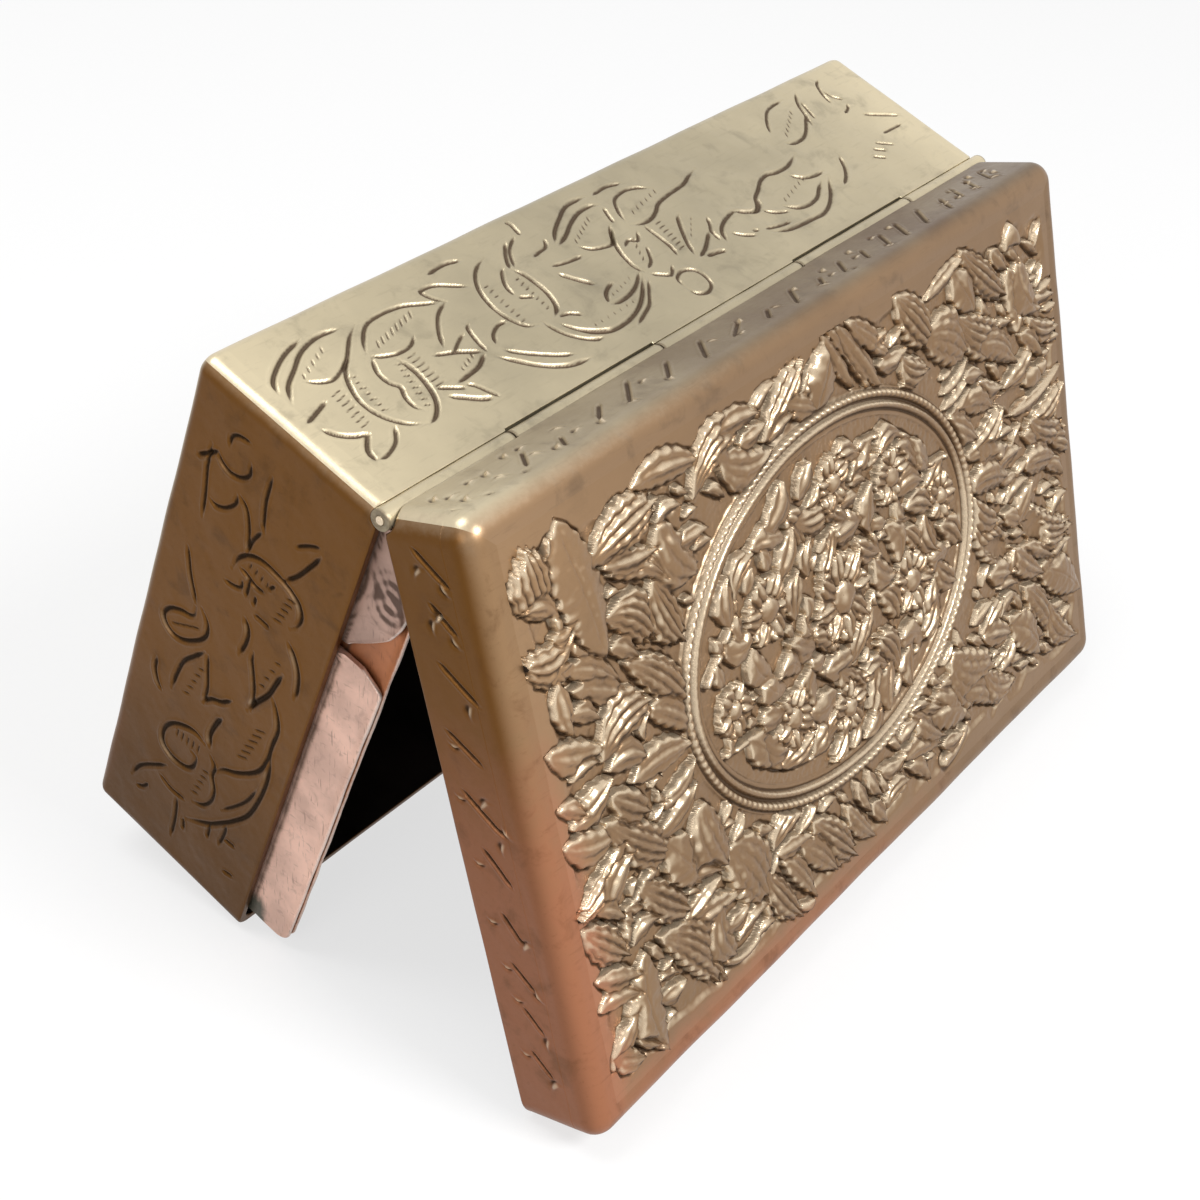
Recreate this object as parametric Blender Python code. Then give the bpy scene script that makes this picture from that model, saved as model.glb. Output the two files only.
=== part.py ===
"""A hinged box of chased sheet silver, standing open like a tent.

The lid's panel carries its ornament as a low relief of leaves, blossoms and
a double ring.

The hinge runs along X at the top. The deep body leans towards +Y and the
shallow lid towards -Y, and both rest on their front rims at Z = 0. Each half
is built in the frame of an empty on the hinge axis: local X runs along the
hinge, local Z is the height from the rim plane to the outer panel, and the
depth from the back wall to the front wall runs along +Y in the body and -Y
in the lid. All lengths are in metres.
"""
import math

import bmesh
import bpy
from mathutils import Matrix, Vector
from mathutils.geometry import delaunay_2d_cdt

# Overall sizes
BOX_LENGTH = 0.1002
BOX_DEPTH = 0.0615
BODY_HEIGHT = 0.0214
LID_HEIGHT = 0.00935
OPEN_ANGLE = math.radians(35.5)

# Sheet metal
WALL = 0.0009
PANEL = 0.001
BODY_EDGE_RADIUS = 0.0012
LID_EDGE_RADIUS = 0.0021
CORNER_RADIUS = 0.00085
SKIRT_STRAIGHT = 0.0005

# Clearances
SEAT_GAP = 0.0003
RIM_GAP = 0.0003
KNUCKLE_GAP = 0.0002
PIN_CLEARANCE = 0.00006
CUT_OVERRUN = 0.002

# Hinge
HINGE_INSET = 0.0007
KNUCKLE_RADIUS = 0.00093
PIN_RADIUS = 0.0004
PIN_PROUD = 0.0001
PIN_END_ROUND = 0.00012
BEARER_THICKNESS = 0.0009
BEARER_HEIGHT = 0.0045

# Where one knuckle ends and the next begins, as shares of the box length
KNUCKLE_JOINT_SHARES = (0.0, 0.165, 0.381, 0.619, 0.835, 1.0)

# Bezel strips that stand proud of the body's two end walls
BEZEL_PROUD = 0.0051
BEZEL_TUCK = 0.004
BEZEL_THICKNESS = 0.00045
BEZEL_FRONT_CLEAR = 0.0016
BEZEL_FRONT_ROUND = 0.0013
LINER_BACK_RISE = 0.007
LINER_BACK_LIP = 0.001
LINER_BACK_ROUND = 0.003
FLANGE_START = 0.0181
FLANGE_END_SLANT = 0.0013
FLANGE_END_RISE = 0.0026
FLANGE_END_ROUND = 0.0012
EAR_END = 0.0167

# The ear's free end: depth as a share of its length, height of the bezel's
EAR_END_SHARES = ((1.0, 0.02), (0.93, 0.28), (0.85, 0.51), (0.74, 0.78), (0.6, 0.92), (0.49, 0.96))
EAR_SHOULDER_SHARES = ((0.34, 0.88), (0.19, 0.6), (0.05, 0.25))

# The lid panel's relief, from its plain border: the ground sinks, the ornament rises
GROUND_SINK = 0.0003
LEAF_SHOULDER = 0.00022
LEAF_RIDGE = 0.00045
RING_RISE = 0.0003
FIELD_SIDE_INSET = 0.003
FIELD_BACK_INSET = 0.0034
FIELD_SLOPE = 0.0003
RING_HALF_LENGTH = 0.0267
RING_HALF_DEPTH = 0.0195

# The ring's middle as shares of the box length and depth, and its outlines as shares of its half sizes
RING_MIDDLE_SHARES = (0.485, 0.478)
RING_LINE_SHARES = (1.0, 0.982, 0.958, 0.935, 0.912)

# A leaf's half outline: share of its half length, share of its half width
LEAF_OUTLINE_SHARES = ((-1.0, 0.0), (-0.55, 0.82), (0.0, 1.0), (0.55, 0.66), (1.0, 0.0))
LEAF_SHOULDER_SHARE = 0.6
LEAF_RIDGE_SHARE = 0.28

# A blossom's radii: between two petals, a petal's crown and the dip inside two petals
BLOSSOM_RADIUS_SHARES = (0.62, 0.66, 0.36)

# Blossoms: place as shares of the box length and depth, and radius as a share of its length
BLOSSOM_SHARES = (
    (0.2874, 0.5171, 0.0269), (0.6866, 0.4423, 0.0269), (0.494, 0.2846, 0.0289),
    (0.4711, 0.6699, 0.0289), (0.3762, 0.6081, 0.0309), (0.5968, 0.3447, 0.0309),
    (0.3613, 0.4033, 0.0369), (0.6138, 0.5463, 0.0369), (0.485, 0.478, 0.0489),
)
BLOSSOM_PETALS = (5, 5, 5, 5, 5, 5, 6, 6, 8)

# Leaves: place as shares of the box length and depth, turn as a share of a full turn, then
# length and width as shares of the box length
LEAF_SHARES = (
    (0.0599, 0.1285, 0.722, 0.0575, 0.0423), (0.0579, 0.6959, 0.133, 0.0632, 0.03),
    (0.0559, 0.865, 0.889, 0.0498, 0.0229), (0.0589, 0.9138, 0.083, 0.0343, 0.019),
    (0.1128, 0.1789, 0.222, 0.115, 0.0458), (0.0679, 0.2228, 0.514, 0.0594, 0.03),
    (0.1627, 0.2797, 0.111, 0.0623, 0.037), (0.0669, 0.322, 0.236, 0.046, 0.0212),
    (0.1158, 0.3463, 0.089, 0.0862, 0.0194), (0.0699, 0.3886, 0.056, 0.0632, 0.0264),
    (0.1337, 0.4228, 0.958, 0.0618, 0.0363), (0.0758, 0.4293, 0, 0.0335, 0.0141),
    (0.0749, 0.4764, 0.944, 0.0527, 0.03), (0.1756, 0.5041, 0.014, 0.0766, 0.0264),
    (0.1228, 0.5106, 0.117, 0.0527, 0.0264), (0.0669, 0.5398, 0.042, 0.0558, 0.0253),
    (0.1317, 0.587, 0.117, 0.0996, 0.0353), (0.0699, 0.6065, 0.431, 0.069, 0.0282),
    (0.0958, 0.6374, 0.875, 0.0517, 0.0264), (0.1457, 0.7089, 0.125, 0.0766, 0.0317),
    (0.0649, 0.7642, 0.069, 0.0527, 0.0194), (0.0629, 0.8016, 0.042, 0.0479, 0.0212),
    (0.1657, 0.8423, 0.144, 0.1054, 0.0388), (0.1058, 0.8504, 0.244, 0.0901, 0.0405),
    (0.2495, 0.1008, 0.022, 0.0862, 0.0264), (0.1796, 0.1366, 0.967, 0.0824, 0.0405),
    (0.2415, 0.1528, 0, 0.0345, 0.0141), (0.2455, 0.2114, 0.167, 0.0623, 0.0458),
    (0.1866, 0.2146, 0.069, 0.0623, 0.0229), (0.2176, 0.2927, 0.189, 0.0651, 0.0353),
    (0.1816, 0.3951, 0.139, 0.1006, 0.0317), (0.1896, 0.5431, 0.944, 0.0481, 0.019),
    (0.1886, 0.5837, 0.939, 0.0556, 0.0229), (0.2255, 0.6764, 0.208, 0.0651, 0.0441),
    (0.1816, 0.6862, 0.167, 0.0558, 0.0347), (0.1926, 0.7528, 0.95, 0.0428, 0.0142),
    (0.2665, 0.7854, 0.172, 0.0747, 0.0529), (0.2036, 0.7902, 0.014, 0.0644, 0.0205),
    (0.2226, 0.8488, 0.222, 0.0498, 0.0335), (0.2615, 0.8748, 0.967, 0.0479, 0.0176),
    (0.3593, 0.0829, 0.014, 0.0515, 0.0174), (0.3952, 0.0959, 0.922, 0.0479, 0.0141),
    (0.3244, 0.1301, 0.939, 0.0862, 0.0353), (0.3453, 0.7837, 0.944, 0.0435, 0.0219),
    (0.3733, 0.7967, 0.903, 0.0345, 0.0141), (0.4122, 0.8683, 0.139, 0.0843, 0.0388),
    (0.3733, 0.8748, 0.139, 0.0671, 0.0264), (0.3443, 0.8748, 0.167, 0.0501, 0.0167),
    (0.3154, 0.878, 0.167, 0.0766, 0.0282), (0.4731, 0.0911, 0.875, 0.0429, 0.0158),
    (0.4311, 0.1057, 0.903, 0.0766, 0.0353), (0.503, 0.1089, 0.833, 0.0594, 0.037),
    (0.4651, 0.135, 0.069, 0.0329, 0.0155), (0.497, 0.839, 0.181, 0.0383, 0.0159),
    (0.4731, 0.8455, 0.194, 0.0431, 0.0141), (0.4631, 0.8813, 0.153, 0.0651, 0.0212),
    (0.5339, 0.9008, 0.972, 0.0479, 0.0229), (0.5988, 0.1073, 0.117, 0.0755, 0.019),
    (0.5469, 0.1154, 0.153, 0.0683, 0.0148), (0.5768, 0.1268, 0.153, 0.0901, 0.0174),
    (0.6038, 0.826, 0.125, 0.0728, 0.0264), (0.6567, 0.8358, 0.069, 0.0728, 0.0441),
    (0.5908, 0.8683, 0.042, 0.0632, 0.0264), (0.5768, 0.9073, 0.125, 0.0422, 0.0176),
    (0.7455, 0.0813, 0.958, 0.0645, 0.0133), (0.6687, 0.1203, 0.139, 0.0766, 0.0388),
    (0.7695, 0.1268, 0.167, 0.0498, 0.0353), (0.6647, 0.1854, 0.083, 0.0479, 0.0282),
    (0.7285, 0.1951, 0.083, 0.0671, 0.0494), (0.7415, 0.2553, 0.939, 0.0517, 0.0132),
    (0.7405, 0.2829, 0.944, 0.0537, 0.0132), (0.7784, 0.3317, 0.056, 0.0515, 0.0237),
    (0.7685, 0.7301, 0.922, 0.0498, 0.0212), (0.7126, 0.7837, 0.078, 0.0786, 0.0564),
    (0.7745, 0.7854, 0.056, 0.0575, 0.0264), (0.7705, 0.8585, 0.083, 0.0632, 0.0317),
    (0.7216, 0.8748, 0.097, 0.0671, 0.0264), (0.8842, 0.1024, 0, 0.0268, 0.0229),
    (0.8204, 0.1187, 0.117, 0.0958, 0.0317), (0.8743, 0.1984, 0.239, 0.0632, 0.03),
    (0.8064, 0.2065, 0.078, 0.091, 0.0405), (0.8323, 0.2894, 0.089, 0.0747, 0.0317),
    (0.8104, 0.3187, 0.069, 0.0498, 0.0176), (0.8822, 0.3236, 0.939, 0.0461, 0.0167),
    (0.7864, 0.3805, 0.95, 0.0814, 0.03), (0.8134, 0.4374, 0.056, 0.0719, 0.037),
    (0.8423, 0.4829, 0.992, 0.0479, 0.0194), (0.7944, 0.5008, 0.042, 0.0814, 0.0317),
    (0.8473, 0.5398, 0.972, 0.0479, 0.0176), (0.8593, 0.5756, 0.875, 0.0441, 0.0264),
    (0.7884, 0.5805, 0.139, 0.1054, 0.037), (0.8004, 0.6764, 0.056, 0.0537, 0.0264),
    (0.8563, 0.6927, 0.117, 0.0766, 0.0264), (0.8912, 0.6959, 0.089, 0.0546, 0.0148),
    (0.8224, 0.7756, 0.033, 0.0364, 0.0176), (0.8723, 0.813, 0.161, 0.0901, 0.03),
    (0.7964, 0.826, 0.889, 0.0277, 0.0142), (0.8323, 0.839, 0.139, 0.0651, 0.0405),
    (0.9162, 0.187, 0.172, 0.0671, 0.037), (0.9321, 0.2699, 0.069, 0.0613, 0.0229),
    (0.9162, 0.3024, 0.125, 0.0498, 0.0194), (0.9062, 0.3512, 0, 0.0326, 0.0212),
    (0.9112, 0.3854, 0.978, 0.1054, 0.0159), (0.9242, 0.426, 0.958, 0.0766, 0.03),
    (0.9331, 0.478, 0.069, 0.0527, 0.0193), (0.9022, 0.4846, 0.069, 0.0455, 0.0178),
    (0.9062, 0.5301, 0.042, 0.0651, 0.03), (0.9501, 0.5301, 0.083, 0.0303, 0.0178),
    (0.9152, 0.6325, 0.097, 0.1006, 0.0441), (0.9371, 0.7236, 0.972, 0.0446, 0.0158),
    (0.9261, 0.7837, 0.106, 0.0901, 0.0405), (0.9261, 0.865, 0.139, 0.0805, 0.0317),
)

# Facets
RING_SEGMENTS = 48
OUTLINE_SLACK = 0.000001
KNUCKLE_SEGMENTS = 32
GROOVE_SEGMENTS = 48
PIN_SEGMENTS = 24
EDGE_SEGMENTS = 5
CORNER_SEGMENTS = 4
ROUND_STEPS = 6
SMOOTH_ANGLE = math.radians(24)

# Sizes that follow from the ones above
LEAN = OPEN_ANGLE / 2
HALF_RIM = RIM_GAP / 2
GROOVE_RADIUS = KNUCKLE_RADIUS + SEAT_GAP
HINGE_HEIGHT = (BOX_DEPTH - HINGE_INSET) * math.cos(LEAN) - HALF_RIM * math.sin(LEAN)
BEZEL_START = HINGE_INSET + GROOVE_RADIUS
BEZEL_FRONT = BOX_DEPTH - WALL - BEZEL_FRONT_CLEAR
FLANGE_INSET = WALL + SEAT_GAP
LINER_INSET = FLANGE_INSET + BEZEL_THICKNESS + SEAT_GAP
BEARER_LENGTH = BOX_LENGTH - (LINER_INSET + BEZEL_THICKNESS + SEAT_GAP) * 2


def side_reach(height, radius):
    """How far one leaning half reaches sideways from the hinge axis."""
    depth = BOX_DEPTH - HINGE_INSET - radius
    return depth * math.sin(LEAN) + (height - radius) * math.cos(LEAN) + radius


HINGE_Y = (side_reach(LID_HEIGHT, LID_EDGE_RADIUS) - side_reach(BODY_HEIGHT, BODY_EDGE_RADIUS)) / 2

# Finishes: base colour, roughness, metallic
FINISHES = {
    "worn_silver": ((0.52, 0.44, 0.33), 0.36, 1.0),
    "chased_silver": ((0.46, 0.38, 0.28), 0.34, 1.0),
    "toned_silver": ((0.36, 0.26, 0.19), 0.42, 1.0),
    "bare_silver": ((0.72, 0.6, 0.54), 0.4, 1.0),
    "warm_silver": ((0.5, 0.32, 0.2), 0.42, 1.0),
    "hinge_silver": ((0.58, 0.52, 0.43), 0.35, 1.0),
    "pin_silver": ((0.75, 0.7, 0.6), 0.25, 1.0),
}


class Half:
    """One half of the box: its empty, its height and which way its depth runs."""

    def __init__(self, name, height, edge_radius, side, collection, chased=False):
        self.name = name
        self.chased = chased
        self.height = height
        self.edge_radius = edge_radius
        self.side = side
        self.frame = bpy.data.objects.new(name + "_frame", None)
        self.frame.location = (0, HINGE_Y, HINGE_HEIGHT)
        self.frame.rotation_euler = (-side * (math.pi / 2 - LEAN), 0, 0)
        collection.objects.link(self.frame)

    def place(self, x, depth, height):
        """The local point at a distance along the hinge, a depth and a height."""
        return (x, self.side * (depth - HINGE_INSET), height)


def clear_scene():
    """Remove every object that the scene holds."""
    for found in list(bpy.data.objects):
        bpy.data.objects.remove(found, do_unlink=True)


def new_collection(name):
    """A collection linked to the scene."""
    made = bpy.data.collections.new(name)
    bpy.context.scene.collection.children.link(made)
    return made


def new_material(name, finish):
    """A metal with one of the named finishes."""
    colour, roughness, metallic = FINISHES[finish]
    made = bpy.data.materials.new(name)
    made.use_nodes = True
    shader = made.node_tree.nodes["Principled BSDF"]
    shader.inputs["Base Color"].default_value = (*colour, 1.0)
    shader.inputs["Roughness"].default_value = roughness
    shader.inputs["Metallic"].default_value = metallic
    made.diffuse_color = (*colour, 1.0)
    return made


def block_mesh(size):
    """A bmesh block of the given size, centred on its origin."""
    shape = bmesh.new()
    bmesh.ops.create_cube(shape, size=1, matrix=Matrix.Diagonal((*size, 1)))
    return shape


def rod_mesh(radius, length, segments):
    """A bmesh rod along X, centred on its origin."""
    shape = bmesh.new()
    turned = Matrix.Rotation(math.pi / 2, 4, "Y")
    bmesh.ops.create_cone(
        shape, cap_ends=True, segments=segments, radius1=radius, radius2=radius,
        depth=length, matrix=turned,
    )
    return shape


def round_edges(shape, wanted, radius, segments):
    """Round the edges whose middle and direction the test accepts."""
    edges = []
    for edge in shape.edges:
        middle = (edge.verts[0].co + edge.verts[1].co) / 2
        run = edge.verts[1].co - edge.verts[0].co
        if wanted(middle, run):
            edges.append(edge)
    bmesh.ops.bevel(
        shape, geom=edges, offset=radius, offset_type="OFFSET", segments=segments,
        profile=0.5, affect="EDGES", clamp_overlap=True,
    )


def finish_object(name, shape, collection, parent, location, finish=None):
    """Turn a bmesh into a named object in a half's frame, with its own material."""
    mesh = bpy.data.meshes.new(name)
    bmesh.ops.recalc_face_normals(shape, faces=shape.faces)
    shape.to_mesh(mesh)
    shape.free()
    made = bpy.data.objects.new(name, mesh)
    collection.objects.link(made)
    made.parent = parent
    made.location = location
    if finish:
        mesh.materials.append(new_material(name, finish))
        mesh.shade_smooth()
        mesh.set_sharp_from_angle(angle=SMOOTH_ANGLE)
    else:
        made.hide_render = True
        made.display_type = "WIRE"
    return made


def combine(target, cutter, operation="DIFFERENCE"):
    """Add a Boolean modifier that uses the cutter."""
    step = target.modifiers.new(cutter.name, "BOOLEAN")
    step.operation = operation
    step.solver = "EXACT"
    step.object = cutter
    return step


class Relief:
    """The outlines on a panel's face, with a height above its border at every point."""

    def __init__(self, half):
        self.half = half
        self.points = []
        self.heights = []
        self.edges = []

    def spot(self, along_share, depth_share):
        """The point of the face at shares of the box length and depth."""
        along = BOX_LENGTH * (along_share - 1 / 2)
        across = self.half.side * BOX_DEPTH * (depth_share - 1 / 2)
        return Vector((along, across))

    def outline(self, points, heights):
        """Add a closed outline whose points have the given heights."""
        first = len(self.points)
        count = len(points)
        for index, (point, height) in enumerate(zip(points, heights)):
            self.points.append(point)
            self.heights.append(height)
            self.edges.append((first + index, first + (index + 1) % count))

    def ridge(self, start, end, height):
        """Add a straight ridge."""
        first = len(self.points)
        self.points.extend((start, end))
        self.heights.extend((height, height))
        self.edges.append((first, first + 1))


def add_field(relief):
    """The edge of the ornamented field, where the plain border slopes down to the ground."""
    for slope, height in ((0, 0), (FIELD_SLOPE, -GROUND_SINK)):
        along = BOX_LENGTH / 2 - FIELD_SIDE_INSET - slope
        across = BOX_DEPTH / 2 - FIELD_BACK_INSET - slope
        corners = [Vector((along * x, across * y)) for x, y in ((-1, -1), (1, -1), (1, 1), (-1, 1))]
        relief.outline(corners, [height] * len(corners))


def add_ring(relief):
    """The medallion's double ring: two ridges with a valley between them."""
    middle = relief.spot(*RING_MIDDLE_SHARES)
    heights = (-GROUND_SINK, RING_RISE, -GROUND_SINK / 2, RING_RISE, -GROUND_SINK)
    for share, height in zip(RING_LINE_SHARES, heights):
        points = []
        for step in range(RING_SEGMENTS):
            angle = math.tau * step / RING_SEGMENTS
            along = RING_HALF_LENGTH * share * math.cos(angle)
            across = RING_HALF_DEPTH * share * math.sin(angle)
            points.append(middle + Vector((along, across)))
        relief.outline(points, [height] * RING_SEGMENTS)


def add_leaf(relief, along_share, depth_share, turn_share, length_share, width_share):
    """A pointed leaf: its foot on the ground, a shoulder outline and a ridge along its middle."""
    middle = relief.spot(along_share, depth_share)
    angle = math.tau * turn_share
    length_way = Vector((math.cos(angle), relief.half.side * math.sin(angle)))
    width_way = Vector((-math.sin(angle), relief.half.side * math.cos(angle)))
    length_way *= BOX_LENGTH * length_share / 2
    width_way *= BOX_LENGTH * width_share / 2
    near = list(LEAF_OUTLINE_SHARES)
    far = [(run, -reach) for run, reach in reversed(LEAF_OUTLINE_SHARES[1:-1])]
    for scale, height in ((1, -GROUND_SINK), (LEAF_SHOULDER_SHARE, LEAF_SHOULDER)):
        points = []
        for run, reach in near + far:
            points.append(middle + (length_way * run + width_way * reach) * scale)
        relief.outline(points, [height] * len(points))
    ridge = length_way * LEAF_RIDGE_SHARE
    relief.ridge(middle - ridge, middle + ridge, LEAF_RIDGE)


def add_blossom(relief, along_share, depth_share, radius_share, petals):
    """A blossom: a foot outline with a point to each petal, raised petal crowns and a raised eye."""
    middle = relief.spot(along_share, depth_share)
    radius = BOX_LENGTH * radius_share
    notch, crown, dip = BLOSSOM_RADIUS_SHARES
    foot = []
    face = []
    for step in range(petals * 2):
        angle = math.pi * step / petals
        way = Vector((math.cos(angle), math.sin(angle))) * radius
        foot.append(middle + way * (1 if step % 2 == 0 else notch))
        face.append(middle + way * (crown if step % 2 == 0 else dip))
    relief.outline(foot, [-GROUND_SINK] * len(foot))
    relief.outline(face, [LEAF_RIDGE, -GROUND_SINK / 2] * petals)
    relief.points.append(middle)
    relief.heights.append(LEAF_RIDGE)


def chase_top(tray, half):
    """Put the lid's ornament in place of the tray's flat top face.

    The outlines cut the face into triangles, and every point is then raised or
    sunk to its own height. Where two outlines cross, the ground is kept.
    """
    top = max(tray.faces, key=lambda face: face.calc_center_median().z)
    corners = list(top.verts)
    level = corners[0].co.z
    relief = Relief(half)
    relief.outline([corner.co.xy for corner in corners], [0] * len(corners))
    add_field(relief)
    add_ring(relief)
    for row in LEAF_SHARES:
        add_leaf(relief, *row)
    for row, petals in zip(BLOSSOM_SHARES, BLOSSOM_PETALS):
        add_blossom(relief, *row, petals)

    shares = [point / BOX_LENGTH for point in relief.points]
    border = list(range(len(corners)))
    found = delaunay_2d_cdt(shares, relief.edges, [border], 1, OUTLINE_SLACK)
    made = []
    for share, sources in zip(found[0], found[3]):
        if sources and min(sources) < len(corners):
            made.append(corners[min(sources)])
            continue
        height = max([relief.heights[source] for source in sources], default=-GROUND_SINK)
        point = share * BOX_LENGTH
        made.append(tray.verts.new((point.x, point.y, level + height)))
    bmesh.ops.delete(tray, geom=[top], context="FACES_ONLY")
    for triangle in found[2]:
        tray.faces.new([made[index] for index in triangle])


def build_panel(half, name, finish, parts, cutters):
    """The half's outer panel: a shallow tray with rounded edges and corners."""
    radius = half.edge_radius
    skirt = radius + SKIRT_STRAIGHT
    centre = half.place(0, BOX_DEPTH / 2, half.height - skirt / 2)
    tray = block_mesh((BOX_LENGTH, BOX_DEPTH, skirt))
    round_edges(tray, lambda mid, run: mid.z > 0 and run.z == 0, radius, EDGE_SEGMENTS)
    if half.chased:
        chase_top(tray, half)
    panel = finish_object(name, tray, parts, half.frame, centre, finish)

    plan = block_mesh((BOX_LENGTH, BOX_DEPTH, skirt + CUT_OVERRUN))
    round_edges(plan, lambda mid, run: run.z != 0, CORNER_RADIUS, CORNER_SEGMENTS)
    outline = finish_object(half.name + "_outline_cutter", plan, cutters, half.frame, centre)
    combine(panel, outline, "INTERSECT")

    hollow = skirt - PANEL + CUT_OVERRUN
    inner_size = (BOX_LENGTH - WALL * 2, BOX_DEPTH - WALL * 2, hollow)
    recess = block_mesh(inner_size)
    round_edges(recess, lambda mid, run: mid.z > 0 and run.z == 0, radius - WALL, EDGE_SEGMENTS)
    centre = half.place(0, BOX_DEPTH / 2, half.height - PANEL - hollow / 2)
    inside = finish_object(half.name + "_recess_cutter", recess, cutters, half.frame, centre)
    combine(panel, inside)
    return panel


def build_long_wall(half, name, outer_depth, finish, parts):
    """The back or the front wall, with both outer upright corners rounded."""
    top = half.height - half.edge_radius - SKIRT_STRAIGHT - SEAT_GAP
    size = (BOX_LENGTH, WALL, top - HALF_RIM)
    shape = block_mesh(size)
    inward = WALL / 2 if outer_depth == 0 else -WALL / 2
    outer_sign = -half.side if outer_depth == 0 else half.side
    round_edges(
        shape, lambda mid, run: run.z != 0 and mid.y * outer_sign > 0, CORNER_RADIUS, CORNER_SEGMENTS
    )
    centre = half.place(0, outer_depth + inward, (top + HALF_RIM) / 2)
    return finish_object(name, shape, parts, half.frame, centre, finish)


def build_end_wall(half, name, sign, finish, parts):
    """The left (sign -1) or right (sign 1) end wall, between the long walls."""
    top = half.height - half.edge_radius - SKIRT_STRAIGHT - SEAT_GAP
    size = (WALL, BOX_DEPTH - (WALL + SEAT_GAP) * 2, top - HALF_RIM)
    centre = half.place(sign * (BOX_LENGTH - WALL) / 2, BOX_DEPTH / 2, (top + HALF_RIM) / 2)
    return finish_object(name, block_mesh(size), parts, half.frame, centre, finish)


def build_bearer(half, name, finish, parts):
    """The strip behind the back wall that thickens it to carry the knuckles."""
    size = (BEARER_LENGTH, BEARER_THICKNESS, BEARER_HEIGHT)
    centre = half.place(0, WALL + SEAT_GAP + BEARER_THICKNESS / 2, HALF_RIM + BEARER_HEIGHT / 2)
    return finish_object(name, block_mesh(size), parts, half.frame, centre, finish)


def rounded_outline(corners):
    """The points of a closed outline whose corners are (depth, height, radius)."""
    points = []
    count = len(corners)
    for index, (depth, height, radius) in enumerate(corners):
        before = corners[index - 1]
        after = corners[(index + 1) % count]
        if radius == 0:
            points.append((depth, height))
            continue
        back = math.atan2(before[1] - height, before[0] - depth)
        ahead = math.atan2(after[1] - height, after[0] - depth)
        turn = (ahead - back + math.pi) % (math.pi * 2) - math.pi
        reach = radius / math.tan(abs(turn) / 2)
        middle = radius / math.sin(abs(turn) / 2)
        centre = (
            depth + middle * math.cos(back + turn / 2),
            height + middle * math.sin(back + turn / 2),
        )
        start = (depth + reach * math.cos(back), height + reach * math.sin(back))
        first = math.atan2(start[1] - centre[1], start[0] - centre[0])
        sweep = -math.copysign(math.pi - abs(turn), turn)
        for step in range(ROUND_STEPS + 1):
            angle = first + sweep * step / ROUND_STEPS
            points.append((centre[0] + radius * math.cos(angle), centre[1] + radius * math.sin(angle)))
    return points


def build_sheet(half, name, outline, x_centre, finish, parts):
    """A flat piece of sheet with the given outline in depth and height."""
    curve = bpy.data.curves.new(name, "CURVE")
    curve.dimensions = "2D"
    curve.fill_mode = "BOTH"
    curve.extrude = BEZEL_THICKNESS / 2
    spline = curve.splines.new("POLY")
    spline.points.add(len(outline) - 1)
    for point, (depth, height) in zip(spline.points, outline):
        point.co = (depth - HINGE_INSET, height, 0, 1)
    spline.use_cyclic_u = True
    drawn = bpy.data.objects.new(name + "_drawn", curve)
    parts.objects.link(drawn)
    flat = bpy.data.meshes.new_from_object(drawn.evaluated_get(bpy.context.evaluated_depsgraph_get()))
    bpy.data.objects.remove(drawn, do_unlink=True)
    shape = bmesh.new()
    shape.from_mesh(flat)
    bpy.data.meshes.remove(flat)
    bmesh.ops.remove_doubles(shape, verts=shape.verts, dist=PIN_CLEARANCE / 4)
    upright = Matrix.Rotation(math.pi / 2, 4, "Z") @ Matrix.Rotation(math.pi / 2, 4, "X")
    bmesh.ops.transform(shape, matrix=upright, verts=shape.verts)
    return finish_object(name, shape, parts, half.frame, (x_centre, 0, 0), finish)


def liner_outline():
    """The long strip inside each end wall; heights below zero stand proud."""
    return rounded_outline((
        (BEZEL_START, BEZEL_TUCK, 0),
        (BEZEL_START, -LINER_BACK_LIP, 0),
        (BEZEL_START + LINER_BACK_RISE, -BEZEL_PROUD, LINER_BACK_ROUND),
        (BEZEL_FRONT, -BEZEL_PROUD, BEZEL_FRONT_ROUND),
        (BEZEL_FRONT, BEZEL_TUCK, 0),
    ))


def flange_outline():
    """The pale strip that laps the liner's front part."""
    return rounded_outline((
        (FLANGE_START, BEZEL_TUCK, 0),
        (FLANGE_START, -FLANGE_END_RISE, 0),
        (FLANGE_START + FLANGE_END_SLANT, -BEZEL_PROUD, FLANGE_END_ROUND),
        (BEZEL_FRONT, -BEZEL_PROUD, BEZEL_FRONT_ROUND),
        (BEZEL_FRONT, BEZEL_TUCK, 0),
    ))


def ear_outline():
    """The rounded lobe that laps the liner's part next to the hinge."""
    length = EAR_END - BEZEL_START
    points = [(BEZEL_START, BEZEL_TUCK), (EAR_END, BEZEL_TUCK)]
    for depth_share, height_share in EAR_END_SHARES + EAR_SHOULDER_SHARES:
        points.append((BEZEL_START + length * depth_share, -BEZEL_PROUD * height_share))
    points.append((BEZEL_START, -LINER_BACK_LIP))
    return points


def build_bezel(body, parts):
    """The liner, flange and ear at both ends of the body."""
    for word, sign in (("left", -1), ("right", 1)):
        flange_x = sign * (BOX_LENGTH / 2 - FLANGE_INSET - BEZEL_THICKNESS / 2)
        liner_x = sign * (BOX_LENGTH / 2 - LINER_INSET - BEZEL_THICKNESS / 2)
        build_sheet(body, "body_" + word + "_liner", liner_outline(), liner_x, "warm_silver", parts)
        build_sheet(body, "body_" + word + "_flange", flange_outline(), flange_x, "bare_silver", parts)
        build_sheet(body, "body_" + word + "_ear", ear_outline(), flange_x, "bare_silver", parts)


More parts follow.
